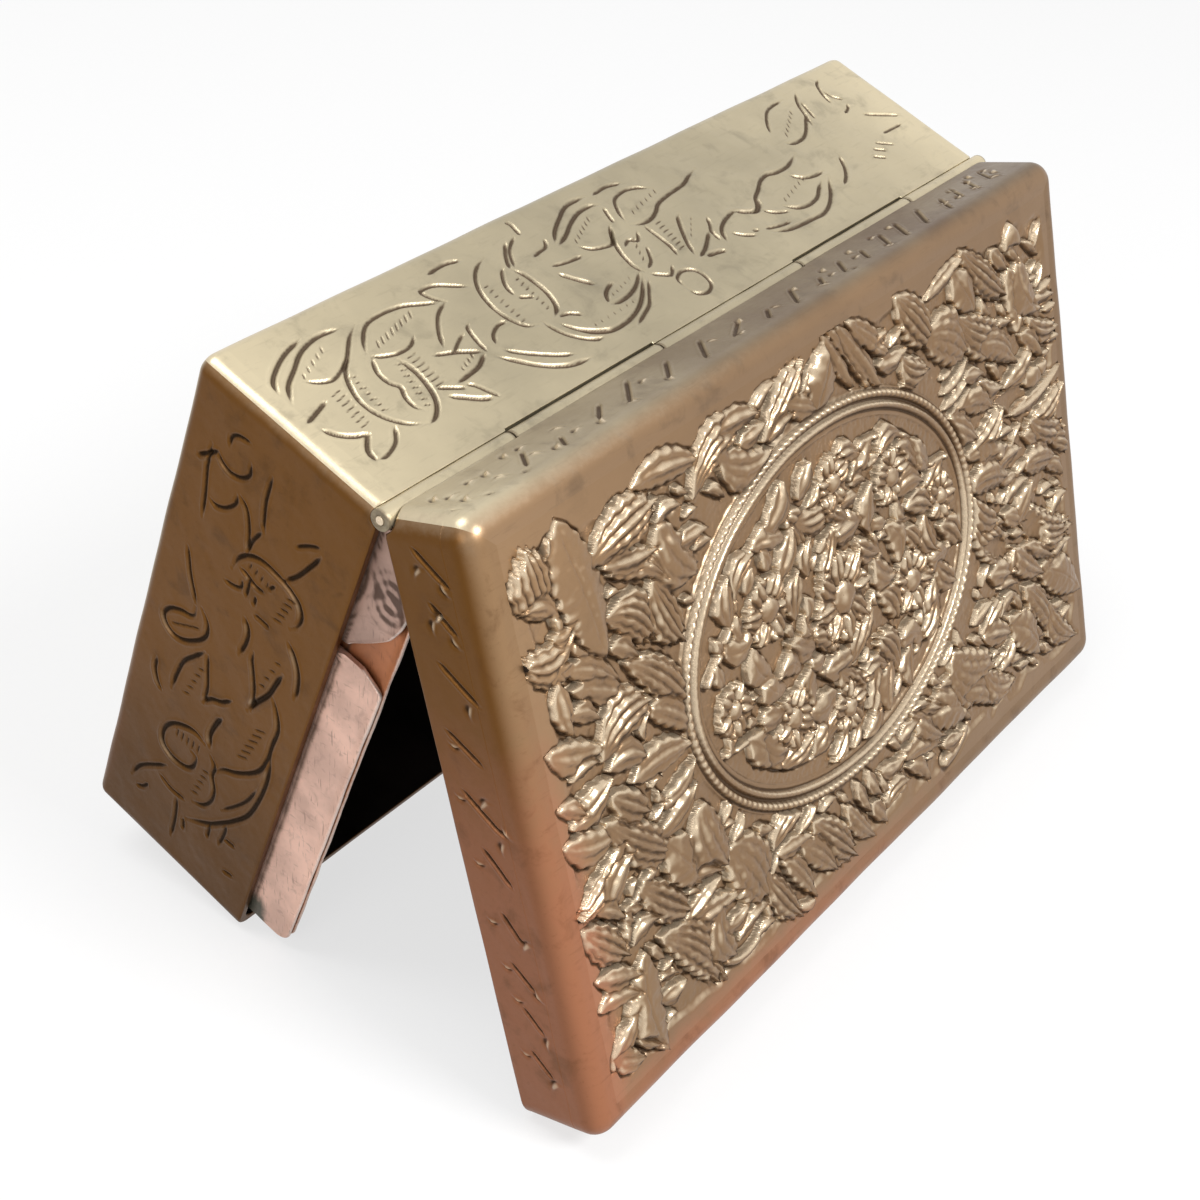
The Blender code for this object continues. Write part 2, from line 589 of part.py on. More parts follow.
def build_half(half, panel_name, panel_finish, parts, cutters, groove):
    """The panel, the four walls and the hinge bearer of one half."""
    build_panel(half, half.name + panel_name, panel_finish, parts, cutters)
    back = build_long_wall(half, half.name + "_back_wall", 0, "worn_silver", parts)
    build_long_wall(half, half.name + "_front_wall", BOX_DEPTH, "toned_silver", parts)
    bearer = build_bearer(half, half.name + "_hinge_bearer", "hinge_silver", parts)
    grooved = [back, bearer]
    for word, sign in (("left", -1), ("right", 1)):
        wall = build_end_wall(half, half.name + "_" + word + "_wall", sign, "toned_silver", parts)
        grooved.append(wall)
    for piece in grooved:
        combine(piece, groove)


def build_hinge(body, lid, parts, cutters):
    """Five knuckles, shared out between the halves, and the pin through them."""
    run = BOX_LENGTH + CUT_OVERRUN * 2
    bore_shape = rod_mesh(PIN_RADIUS + PIN_CLEARANCE, run, KNUCKLE_SEGMENTS)
    bore = finish_object("pin_bore_cutter", bore_shape, cutters, body.frame, (0, 0, 0))
    joints = KNUCKLE_JOINT_SHARES
    for index in range(len(joints) - 1):
        owner = body if index % 2 == 0 else lid
        start = BOX_LENGTH * (joints[index] - joints[-1] / 2)
        end = BOX_LENGTH * (joints[index + 1] - joints[-1] / 2)
        start += KNUCKLE_GAP / 2 if index > 0 else 0
        end -= KNUCKLE_GAP / 2 if index < len(joints) - 2 else 0
        name = owner.name + "_knuckle_" + str(index + 1)
        tube = rod_mesh(KNUCKLE_RADIUS, end - start, KNUCKLE_SEGMENTS)
        middle = ((start + end) / 2, 0, 0)
        knuckle = finish_object(name, tube, parts, owner.frame, middle, "hinge_silver")
        combine(knuckle, bore)

    pin = rod_mesh(PIN_RADIUS, BOX_LENGTH + PIN_PROUD * 2, PIN_SEGMENTS)
    round_edges(pin, lambda mid, edge: edge.x == 0, PIN_END_ROUND, CORNER_SEGMENTS)
    finish_object("hinge_pin", pin, parts, body.frame, (0, 0, 0), "pin_silver")


def main():
    """Build the whole box."""
    clear_scene()
    parts = new_collection("repousse_silver_box")
    cutters = new_collection("cutters")
    body = Half("body", BODY_HEIGHT, BODY_EDGE_RADIUS, 1, parts)
    lid = Half("lid", LID_HEIGHT, LID_EDGE_RADIUS, -1, parts, chased=True)
    run = BOX_LENGTH + CUT_OVERRUN * 2
    groove_shape = rod_mesh(GROOVE_RADIUS, run, GROOVE_SEGMENTS)
    groove = finish_object("hinge_groove_cutter", groove_shape, cutters, body.frame, (0, 0, 0))
    build_half(body, "_bottom_panel", "worn_silver", parts, cutters, groove)
    build_half(lid, "_top_panel", "chased_silver", parts, cutters, groove)
    build_bezel(body, parts)
    build_hinge(body, lid, parts, cutters)


if __name__ == "__main__":
    main()
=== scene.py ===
"""The silver surfaces of a small hinged box, chased all over and standing open.

The two halves lean on each other like a tent, hinge upwards. Every place on a
half is given in millimetres as (along, depth, height): along the hinge from
the box's left end, in from the outer back face, and out from the rim.
"""
import math

import bpy
import numpy as np
from mathutils import Matrix, Vector


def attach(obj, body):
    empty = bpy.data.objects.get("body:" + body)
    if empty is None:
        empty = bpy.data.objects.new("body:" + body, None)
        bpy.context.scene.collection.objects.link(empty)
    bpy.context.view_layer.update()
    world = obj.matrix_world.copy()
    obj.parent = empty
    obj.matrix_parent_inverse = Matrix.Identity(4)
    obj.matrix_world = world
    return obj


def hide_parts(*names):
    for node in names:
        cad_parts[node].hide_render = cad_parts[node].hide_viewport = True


bl_info = {
    "name": "Chased silver box",
    "version": (1, 0, 0),
    "blender": (4, 5, 0),
    "location": "3D View > Sidebar > Silver box",
    "description": "Builds the relief, the engraved walls and the fittings of a hinged silver box",
    "category": "Add Mesh",
}

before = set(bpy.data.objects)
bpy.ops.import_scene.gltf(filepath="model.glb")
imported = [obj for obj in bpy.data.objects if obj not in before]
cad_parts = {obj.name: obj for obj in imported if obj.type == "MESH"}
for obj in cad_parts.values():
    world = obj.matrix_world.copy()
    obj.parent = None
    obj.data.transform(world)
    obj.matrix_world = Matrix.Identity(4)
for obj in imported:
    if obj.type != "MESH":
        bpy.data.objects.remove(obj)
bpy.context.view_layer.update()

MM = 0.001
BODY = "body"
LID = "lid"
WHITE = (1, 1, 1, 1)

# Sizes in millimetres that the solids fix
LENGTH = 100.2
DEPTH = 61.5
BODY_HEIGHT = 21.4
BODY_EDGE = 1.2
LID_HEIGHT = 9.35
LID_EDGE = 2.1
HINGE_INSET = 0.7
HALF_RIM = 0.15
WALL = 0.9
PANEL = 1.0
GROOVE_RADIUS = 1.23
LEAN = math.radians(17.75)
BEZEL_START = 1.93
BEZEL_FRONT = 59.0
BEZEL_PROUD = 5.1
BEZEL_TUCK = 4.0
BEZEL_ROUND = 1.3
FLANGE_INSET = 1.2
SHEET = 0.45
SHEET_GAP = 0.3
LINER_INSET = FLANGE_INSET + SHEET + SHEET_GAP
KNUCKLE_JOINT_SHARES = (0.0, 0.165, 0.381, 0.619, 0.835, 1.0)
KNUCKLE_GAP = 0.1
BORE_RADIUS = 0.46
PIN_RADIUS = 0.4
PIN_OVERHANG = 0.1

# Sizes in millimetres that only these surfaces have
BORDER = 3.0
RIM_ROUND = 0.2
SEAT_FADE = 3.0
KNUCKLE_RADIUS = 1.02
PIN_HEAD_RADIUS = 0.41

# Leaves on the lid's panel: along, depth, angle, length, width and kind. The
# kinds are r ridged, h hatched, s smooth, b bud, o bead and k hollow. Each is
# made longer than it is listed, by the share given first.
LEAF_STRETCH_SHARE = 1.2
FIELD_LEAVES = (
    (6, 7.9, -100, 6, 4.8, "h"), (11.3, 11, 80, 12, 5.2, "s"), (6, 13.7, 185, 6.2, 3.4, "h"),
    (6, 10.8, 205, 4.2, 1.8, "r"), (18, 8.4, -12, 8.6, 4.6, "h"), (25, 6.2, 8, 9, 3, "r"),
    (32.5, 8, -22, 9, 4, "h"), (24.6, 13, 60, 6.5, 5.2, "b"), (24.2, 9.8, 0, 3.6, 1.6, "r"),
    (18.7, 13.2, 25, 6.5, 2.6, "r"), (18.2, 11.1, 10, 6.5, 2, "h"), (16.3, 17.2, 40, 6.5, 4.2, "h"),
    (21.8, 18, 68, 6.8, 4, "h"), (7.5, 17, 0, 3, 1.5, "o"), (10.8, 19.5, 38, 8, 2.4, "r"),
    (12, 21.3, 32, 9, 2.2, "r"), (6.7, 19.8, 85, 4.8, 2.4, "r"), (7, 23.9, 20, 6.6, 3, "r"),
    (13.8, 25.6, -15, 7.2, 4.6, "h"), (19, 24.3, 50, 10.5, 3.6, "h"), (19.7, 28, 42, 7.5, 2.8, "r"),
    (7.6, 26.4, 0, 3.5, 1.6, "r"), (7.5, 29.3, -20, 5.5, 3.4, "r"), (13, 28.9, 20, 5, 3, "r"),
    (17.6, 31, 5, 8, 3, "r"), (5, 29, 35, 3.4, 1.8, "r"),
    (40, 5.5, -28, 5, 1.6, "r"), (43.2, 6.5, -35, 8, 4, "h"), (47.4, 6, -45, 5, 2, "r"),
    (46.2, 8.3, 25, 5, 2.4, "r"), (42.4, 8.9, -15, 4, 1.8, "r"), (36.3, 8.7, 15, 7.5, 4, "r"),
    (36, 5.9, 5, 6, 2.2, "r"), (50.4, 6.7, -60, 6.2, 4.2, "s"), (53, 6.4, 60, 7, 1.9, "r"),
    (54.8, 7.1, 55, 9, 2, "r"), (57, 7.8, 55, 10.5, 2.2, "r"), (59.2, 6.6, 42, 8.8, 2.4, "r"),
    (61, 6.8, -15, 2.6, 1, "r"), (64.8, 13.5, 0, 2, 1.2, "o"),
    (67.4, 7.4, 50, 8, 4.4, "h"), (74.7, 5, -15, 8.5, 1.8, "r"), (82.2, 7.3, 42, 10, 3.6, "h"),
    (77.5, 7.8, 60, 5.2, 4, "s"), (62.6, 9.2, 0, 5, 2.2, "r"), (66.6, 11.4, 30, 5, 3.2, "h"),
    (73, 12, 30, 7, 5.6, "b"), (74.3, 15.7, -22, 5.4, 1.5, "r"), (74.2, 17.4, -20, 5.6, 1.5, "r"),
    (74.6, 19, -20, 5.4, 1.3, "r"), (80.8, 12.7, 28, 9.5, 4.6, "h"), (87.6, 12.2, 86, 6.6, 3.4, "s"),
    (88.6, 6.3, 0, 2.8, 2.6, "o"), (92.8, 8.1, 42, 3.6, 1, "r"), (94.6, 7, -60, 2.8, 1, "r"),
    (91.8, 11.5, 62, 7, 4.2, "s"), (94.6, 14.1, 8, 5.2, 1.4, "r"), (95.6, 13, -10, 3, 1, "r"),
    (94.2, 16.6, 25, 6.4, 2.6, "h"), (96.3, 15.7, -5, 2.4, 1, "r"), (96.4, 19.6, 0, 2.6, 1, "r"),
    (88, 19.5, -22, 7, 2.6, "r"), (91, 18.6, 45, 5.2, 2.2, "r"), (83.4, 17, 32, 7.8, 3.6, "r"),
    (81.6, 19.2, 25, 5.2, 2, "r"), (78, 21.2, 20, 6, 3, "r"), (74.6, 22.2, 38, 6, 3.4, "r"),
    (79.2, 23.8, -18, 8.5, 3.4, "h"), (86, 25.2, 45, 7.5, 3.4, "k"), (90.8, 22, 0, 3.4, 2.4, "o"),
    (93, 21.2, 0, 2, 1.6, "o"), (91.3, 23.7, -8, 11, 1.8, "r"), (93, 26.2, -15, 8, 3.4, "h"),
    (81.5, 26.9, 20, 7.5, 4.2, "s"), (77.6, 28.4, -15, 6, 2, "r"), (79.2, 30.8, 15, 8.5, 3.6, "r"),
    (84, 26.4, 10, 3, 1.2, "r"), (84, 29.3, -3, 5, 2.2, "r"), (90.8, 29.4, 25, 6, 2.4, "r"),
    (93.5, 28.6, 25, 8, 3, "h"), (96, 30.9, 30, 2.4, 1.2, "r"), (83.9, 31.4, 5, 4, 1.6, "r"),
    (6.7, 32.4, 15, 6.5, 3.2, "r"), (13.2, 36.1, 42, 10.4, 4, "h"), (12.3, 32.2, 42, 5.5, 3, "h"),
    (19, 33.8, -20, 5.6, 2.4, "r"), (18.5, 36.3, -22, 5.8, 2.6, "r"), (6.6, 36.9, 155, 7.2, 3.2, "h"),
    (9.2, 38.8, -45, 5.4, 3, "r"), (5.8, 42.8, 48, 6.6, 3.4, "h"), (7, 40.9, 40, 4.2, 1.6, "r"),
    (14.6, 43.6, 45, 8, 3.6, "h"), (17.8, 41.8, 60, 6.5, 4.4, "s"), (22.6, 41.6, 75, 6.8, 5, "b"),
    (26.7, 48.3, 62, 7.8, 6, "b"), (19.3, 47.1, -18, 6.5, 2.2, "r"), (20.8, 45.2, 20, 4.5, 1.6, "r"),
    (20.8, 49, 5, 7.5, 2.6, "r"), (16.6, 51.8, 52, 11, 4.4, "h"), (10.6, 52.3, 88, 9.4, 4.6, "s"),
    (22.3, 52.2, 80, 5.2, 3.8, "b"), (26.2, 53.8, -12, 5, 2, "r"), (5.6, 53.2, -40, 5.2, 2.6, "r"),
    (5.9, 49.3, 15, 5, 2.4, "r"), (6.5, 47, 25, 5.5, 2.2, "r"), (5.9, 55.4, 30, 4, 2.4, "r"),
    (8.8, 55.8, 40, 3.6, 1.2, "r"), (31.6, 54, 60, 8, 3.2, "h"), (34.5, 53.8, 60, 7.6, 2.6, "r"),
    (35.2, 57.3, 15, 2.2, 1.2, "o"),
    (34.6, 47.4, -20, 6.6, 3.4, "h"), (34.6, 50.2, 10, 6, 2, "r"), (37.4, 48.2, -35, 3.6, 1.6, "r"),
    (41.3, 53.4, 50, 8.8, 4.4, "h"), (38.2, 53.8, 50, 7, 3, "r"), (46.4, 54.2, 55, 6.8, 2.4, "r"),
    (47.4, 52, 70, 4.5, 1.6, "r"), (49.8, 51.6, 65, 4, 1.8, "r"), (52, 52.8, 60, 3.6, 1.4, "r"),
    (57, 51.4, 0, 2.2, 2, "o"), (55.4, 52.7, -25, 3, 1.4, "r"), (59.6, 53.4, 15, 6.6, 3, "r"),
    (53.5, 55.4, -10, 5, 2.6, "h"), (58.2, 55.4, 45, 4.4, 2, "r"), (61.3, 50.8, 45, 7.6, 3, "r"),
    (65.8, 51.4, 25, 7.6, 5, "s"), (62.3, 48.8, 32, 5, 1.6, "r"), (66.4, 49.3, 28, 5, 1.6, "r"),
    (60, 48, 20, 4, 1.2, "r"),
    (71.4, 48.2, 28, 8.2, 6.4, "b"), (72.3, 53.8, 35, 7, 3, "r"), (77.2, 52.8, 30, 6.6, 3.6, "r"),
    (77, 45.7, -28, 5.2, 2.4, "h"), (77.6, 48.3, 20, 6, 3, "r"), (81.9, 49.3, -5, 4, 1.4, "r"),
    (82.4, 47.7, 12, 3.8, 2, "o"), (79.4, 51.2, -40, 4.2, 2.2, "r"), (83.4, 51.6, 50, 6.8, 4.6, "s"),
    (87.4, 50, 58, 9.4, 3.4, "r"), (92.8, 48.2, 38, 9.4, 4.6, "s"), (92.8, 53.2, 50, 8.4, 3.6, "r"),
    (93.5, 44.9, -10, 5.2, 2, "r"), (91.7, 38.9, 35, 10.5, 5, "h"), (87.6, 39.4, 55, 6.6, 3, "k"),
    (88.5, 42.8, 32, 7.2, 2, "r"), (85.8, 42.6, 42, 8, 3, "r"), (84, 36.4, 30, 5, 2.4, "r"),
    (84.9, 33.6, -10, 5, 2, "r"), (86.5, 35.4, -45, 4.6, 3, "r"), (90.8, 32.6, 15, 6.8, 3.4, "r"),
    (96, 32.6, 30, 4, 2.4, "h"), (78.6, 35.7, 50, 11, 4.2, "h"), (77.9, 32.4, 42, 6.2, 3, "h"),
    (79.2, 38.8, 35, 6, 2.4, "k"), (80.2, 41.6, 20, 5.6, 3, "r"), (82.2, 41.2, -60, 3, 1.6, "r"),
    (81, 43.8, 15, 3.5, 1.5, "r"),
)
# How each kind of leaf is shaped: power of its outline, swell towards the tip,
# flute spacing, flute depth, how far it is a roof rather than a dome, and how
# deep its tip is notched
LEAF_FORMS = {
    "r": (0.95, -0.20, 0.95, 0.17, 0.80, 0.08),
    "h": (0.78, 0.14, 0.86, 0.27, 0.50, 0.22),
    "s": (0.80, -0.15, 9.0, 0.0, 0.50, 0.0),
    "b": (0.58, 0.08, 1.2, 0.17, 0.25, 0.12),
    "o": (0.50, 0.0, 9.0, 0.0, 0.0, 0.0),
    "k": (0.60, 0.1, 9.0, 0.0, 0.0, 0.0),
}
FIELD_STEMS = (
    (1.1, (8, 45), (9.5, 42.4), (12, 40.8), (15.5, 39)),
    (0.8, (20.8, 54.9), (23, 56.1), (25.5, 56.2), (28.2, 55.2)),
    (0.8, (27, 52.3), (28.6, 53.4), (29.2, 55.6)),
    (1.3, (64, 57), (66, 56.6), (68.4, 55.4)),
    (0.9, (8.8, 5.5), (7.8, 10.8), (9, 15), (11, 17)),
)

# The medallion, measured from its centre: blossoms are along, depth, radius and petals
MEDALLION_CENTRE = (48.6, 29.4)
MEDALLION_AXES = (26.7, 19.5)
BLOSSOMS = (
    (-19.8, 2.4, 2.7, 5), (20.2, -2.2, 2.7, 5), (0.9, -11.9, 2.9, 5), (-1.4, 11.8, 2.9, 5),
    (-10.9, 8.0, 3.1, 5), (11.2, -8.2, 3.1, 5), (-12.4, -4.6, 3.7, 6), (12.9, 4.2, 3.7, 6),
    (0.0, 0.0, 4.9, 8),
)
SPRAYS = (
    (0.75, (-23, -2), (-18, -6), (-16, -10), (-9, -12.5), (-4, -9)),
    (0.75, (23, 2), (18, 6), (16, 10), (9, 12.5), (4, 9)),
    (0.7, (-22, 6), (-16.5, 7), (-15, 11), (-8, 13.5), (-4, 11)),
    (0.7, (22, -6), (16.5, -7), (15, -11), (8, -13.5), (4, -11)),
    (0.7, (-7.5, 1), (-6, 5), (-2.5, 7.5), (2, 7)),
    (0.7, (7.5, -1), (6, -5), (2.5, -7.5), (-2, -7)),
)

# Graver's cuts on the body's back wall: weight, then (along, height) points
BACK_CUTS = (
    (1.4, (4.2, 4.5), (4.3, 5.6), (5.2, 6.6), (6, 7.2)),
    (1, (4.4, 4.5), (5.5, 4.5), (7.2, 5.2), (8.5, 6.6)),
    (1.4, (2.7, 9.6), (3.4, 8.4), (4.6, 7.5), (6, 7.1)),
    (1.4, (2.2, 10.7), (3.8, 11.2), (5.6, 11.8)),
    (1.1, (11.2, 5.2), (9.5, 6.2), (8.3, 8), (8, 10), (8.6, 12), (9.6, 13.5), (11.2, 14.8),
     (13, 16.3), (14.7, 17.3)),
    (1.4, (11.2, 5), (12.6, 5.5), (13.8, 6.6), (14.5, 8), (14.9, 9.7), (14.9, 11), (14.7, 12.2)),
    (1, (12.2, 6.5), (11.7, 7.3), (11.9, 8.6), (12.4, 9.6), (11.9, 10.5), (11.9, 11.8),
     (12.5, 13), (13, 13.6)),
    (1.4, (15.2, 6.5), (16.5, 5.5), (17.6, 4.7), (18.8, 4.2)),
    (0.9, (19.4, 4), (18.9, 5), (18.3, 6.2), (17.7, 6.6)), (0.8, (15, 7.8), (17.5, 6.3)),
    (1.4, (17.2, 7.2), (19, 7.4), (20.7, 7.7), (22.4, 8.6)),
    (1, (22.4, 8.7), (20.2, 9.9), (17.8, 10.8)), (0.9, (19.8, 10), (21.5, 10.9), (22.5, 11.3)),
    (1, (22.7, 8.5), (22.9, 10), (23.4, 11.6), (24.1, 12)),
    (1, (19.5, 11), (20.7, 12.7), (22.4, 14.3), (24.4, 15.2)),
    (1, (12.8, 13.6), (14, 13), (15.5, 12.6), (17.2, 12.8), (18.4, 13.6)),
    (1.1, (12.7, 14), (13.8, 15.4), (15.5, 16.7), (17.5, 17), (20, 16.8), (22, 16), (24, 15.2)),
    (1, (24.4, 15), (23.4, 16.2), (23.2, 17.3), (25, 17.2), (27, 16), (28, 15.4)),
    (1, (5.6, 14.4), (6.8, 13.6), (8, 13.3), (9.5, 13.8), (11, 14.6)),
    (1.4, (2.6, 14.5), (3.2, 15.7), (4.5, 16.7), (6.5, 17.7), (9, 18.4)),
    (1.4, (2.7, 13), (4, 14.7), (6, 16), (8, 17.2), (10.5, 17.8), (13.3, 17.5)),
    (1.4, (23, 7.7), (24.2, 6.3), (25.5, 4.9), (27, 3.8), (28.7, 3.1), (31, 2.8)),
    (1, (24.2, 8), (25.3, 6.9), (27, 5.6), (28.5, 4.6), (30, 3.9)),
    (1, (24.2, 8.8), (25, 9.8), (26.3, 10.4), (27.5, 10.3)),
    (1.1, (29.9, 8.4), (28.6, 9), (27.8, 10.5), (27.7, 12.5), (28.3, 14.5), (29.4, 16),
     (30.8, 17), (32.4, 17.5)),
    (1, (30.5, 8.5), (30.8, 7), (31.7, 5.5), (33.2, 4.3), (34.5, 4)),
    (1, (31.8, 7.5), (32.8, 6.2), (34.5, 5), (36, 4.4)),
    (1.4, (32.2, 8.4), (33.4, 9.2), (34.1, 10.8), (34.2, 12.5), (34, 14), (33.5, 15)),
    (0.9, (31, 12), (32.6, 11.3)), (1, (30.9, 12.4), (31.2, 13.8), (32.2, 15.1), (32.9, 15.6)),
    (1.4, (33.4, 15.2), (34.6, 16.7), (36, 18)), (1.2, (25.5, 18.6), (28, 18.8), (30, 18.4)),
    (1.4, (32.3, 6.5), (33.5, 5.3), (35.2, 4.4), (37, 4.2), (39, 4.4), (41, 5), (42.8, 6),
     (44.3, 7.2), (45.3, 8)),
    (1, (38.8, 3.4), (40.5, 4), (42.3, 4.7), (43.6, 5.8), (45.3, 7.2)),
    (0.9, (32.6, 8.2), (33.8, 8), (35, 7.2)),
    (1.4, (38.7, 6.7), (40, 6.5), (41.7, 6.7), (43.5, 7.3), (45.3, 8.4)),
    (1.3, (38.7, 7), (39.4, 7.9), (40.5, 8.5), (41.5, 8.7)),
    (1.5, (39.5, 9.4), (38.3, 10.8), (37.2, 12.3)), (1, (37.5, 13.4), (39.5, 13), (41.8, 12.8)),
    (1.3, (45.7, 8), (45.3, 9.2), (45.6, 11), (46.3, 12.5), (47.3, 13.8), (48, 14.5)),
    (1, (46, 7.5), (47.5, 6.5), (48.2, 6.4), (49.2, 7.3)),
    (0.9, (46.5, 8.2), (47.6, 8.7), (48.4, 9.6), (49, 10.5)),
    (0.9, (46.8, 11.5), (48, 12), (49, 11.5), (50, 12.5)),
    (1, (50.9, 7.8), (51.3, 9), (51.4, 11), (51.4, 12.8)),
    (1.4, (52.7, 7), (53.5, 8.6), (54.5, 10), (55.7, 11.5), (56.5, 12)),
    (1.4, (53, 6.5), (54.5, 7), (56, 7.8), (57.3, 8.6)), (1.4, (53.8, 6.2), (55.2, 6), (56.5, 5.7)),
    (1, (57.2, 7), (57.4, 8.3), (58.2, 9.2), (58.9, 10.2)),
    (1.4, (57.7, 6.5), (58.5, 7.8), (59.8, 8.6), (61.5, 9.1), (63, 9.3)),
    (1, (59.3, 7.1), (60.3, 6.2), (61.7, 5.5)), (0.9, (61.8, 6.2), (62.8, 5.9)),
    (1.4, (62.5, 9.2), (64, 8.4), (65.3, 8), (66.5, 8.6), (67, 9.3)),
    (0.9, (63.5, 5.7), (65.5, 5.2), (67.5, 5)),
    (1, (42.3, 14), (43.3, 13), (45, 12.5), (46, 12.5), (47.2, 13.6), (48, 14.5)),
    (1.4, (40.5, 15), (42.5, 15.7), (44.5, 16.7), (46.5, 17.4), (48.5, 17.5), (49.4, 17.1)),
    (1.4, (40.5, 15.4), (42, 16.7), (44, 17.8), (46, 18.7), (48, 18.8), (49.1, 18.7)),
    (0.9, (48.7, 14.5), (49, 15.5), (49.5, 16.6)),
    (1, (50, 14), (50.6, 15.5), (51.8, 16.9), (53.8, 17.3), (55.5, 17), (57, 16.2)),
    (1.4, (50.2, 13.4), (51.5, 13), (53, 13), (54.5, 13.5), (55.8, 14.2), (58, 14.6), (61, 14.9),
     (62.5, 15.4), (64.3, 15.9)),
    (1, (50, 18.5), (52.5, 18.7), (54.6, 18.3)), (1, (37, 15.2), (38, 15.4), (39.3, 15.6), (40, 16.5)),
    (1, (33.9, 15), (35.5, 17), (37.5, 18.2)), (1.2, (38.2, 18), (38.5, 19.5), (38.2, 20.2)),
    (1.4, (64, 4.9), (66, 4.3), (68, 4.1), (70, 4), (72, 3.9), (74, 4.4), (76, 5.5), (77.5, 6.7),
     (78.5, 7.6)),
    (0.9, (65.8, 7.7), (67, 6.8), (68.8, 6.1)),
    (1.4, (68.8, 7), (70.2, 6), (72, 5.7), (74, 6), (75.5, 6.8), (77, 7.5)),
    (1.4, (64, 8.3), (65, 8), (66, 8.6), (67, 9.5), (68.5, 10.2), (70, 11), (71.5, 11.3), (73, 11),
     (75, 11), (76.5, 11.4), (78, 12)),
    (1.3, (74, 9.9), (75, 9), (76.5, 8.5), (78.7, 8.4)),
    (1.3, (79, 5.7), (80.5, 6.5), (81.8, 7.6), (83, 9.2)),
    (1.3, (78.5, 13.6), (79.5, 13.2), (81.2, 13.2), (82.5, 13.6), (84, 14.6), (85.5, 15.8)),
    (1, (78.2, 15.5), (79.5, 17), (81.3, 18.3), (83, 18.7), (85, 18.8)),
    (1, (84.5, 14), (85.5, 16), (86.5, 17.6), (88, 19)), (0.9, (88.3, 6), (86.8, 7)),
    (0.9, (89.5, 6.8), (88, 7.8)), (0.9, (91.5, 7), (89.3, 8.4)), (0.8, (92, 9), (96, 8.9)),
    (1.2, (97.3, 10), (92.7, 12.4)), (0.9, (90.7, 13.6), (92, 14), (92.5, 14.6)),
    (1, (90.6, 15.5), (91, 17), (92, 18.6), (93.2, 19.2)), (0.9, (92.8, 15.3), (91.8, 16.4), (91.7, 17.5)),
    (1, (86, 14.7), (87, 17.5)),
    (1, (47.7, 4.3), (48, 3.2), (49.3, 2.7), (50.6, 3.2), (51, 4.4), (50.6, 5.6), (49.3, 6.1),
     (48, 5.6), (47.7, 4.3)),
)
# Shading on the back wall: first and last tick's middle, tick length, angle and count
BACK_HATCHES = (
    (6.4, 8, 7, 12, 1.6, 10, 7), (12.9, 6.8, 14.4, 11.6, 1.1, -20, 8), (15.8, 8, 16.2, 11.8, 1.6, 5, 7),
    (9.2, 8.4, 9.6, 12.6, 1.1, -15, 7), (29, 9.6, 29.4, 14.6, 1.1, 10, 8), (32.6, 9.6, 33, 13.8, 1, 15, 7),
    (47.2, 9.4, 48.6, 11.8, 1.1, 30, 4), (52.3, 8.4, 53.2, 12.2, 1.5, 8, 7), (19, 8.2, 21, 8.9, 0.9, 70, 4),
    (14.6, 14.4, 20, 15.6, 1.3, 60, 8), (6, 14.9, 9.6, 16.4, 1.1, 65, 5),
    (42.8, 14.6, 46.6, 16.2, 1.1, 65, 6), (52, 14.6, 57, 15.7, 1.0, 65, 6),
    (40, 7.5, 43.4, 8.2, 0.7, 70, 5), (35, 5.6, 41, 5.8, 0.7, 70, 7),
    (70, 7.6, 75, 8.8, 1.0, 60, 6), (80, 14.6, 84, 16.8, 1.2, 60, 6), (55, 9.2, 57, 10.8, 0.9, 40, 4),
)
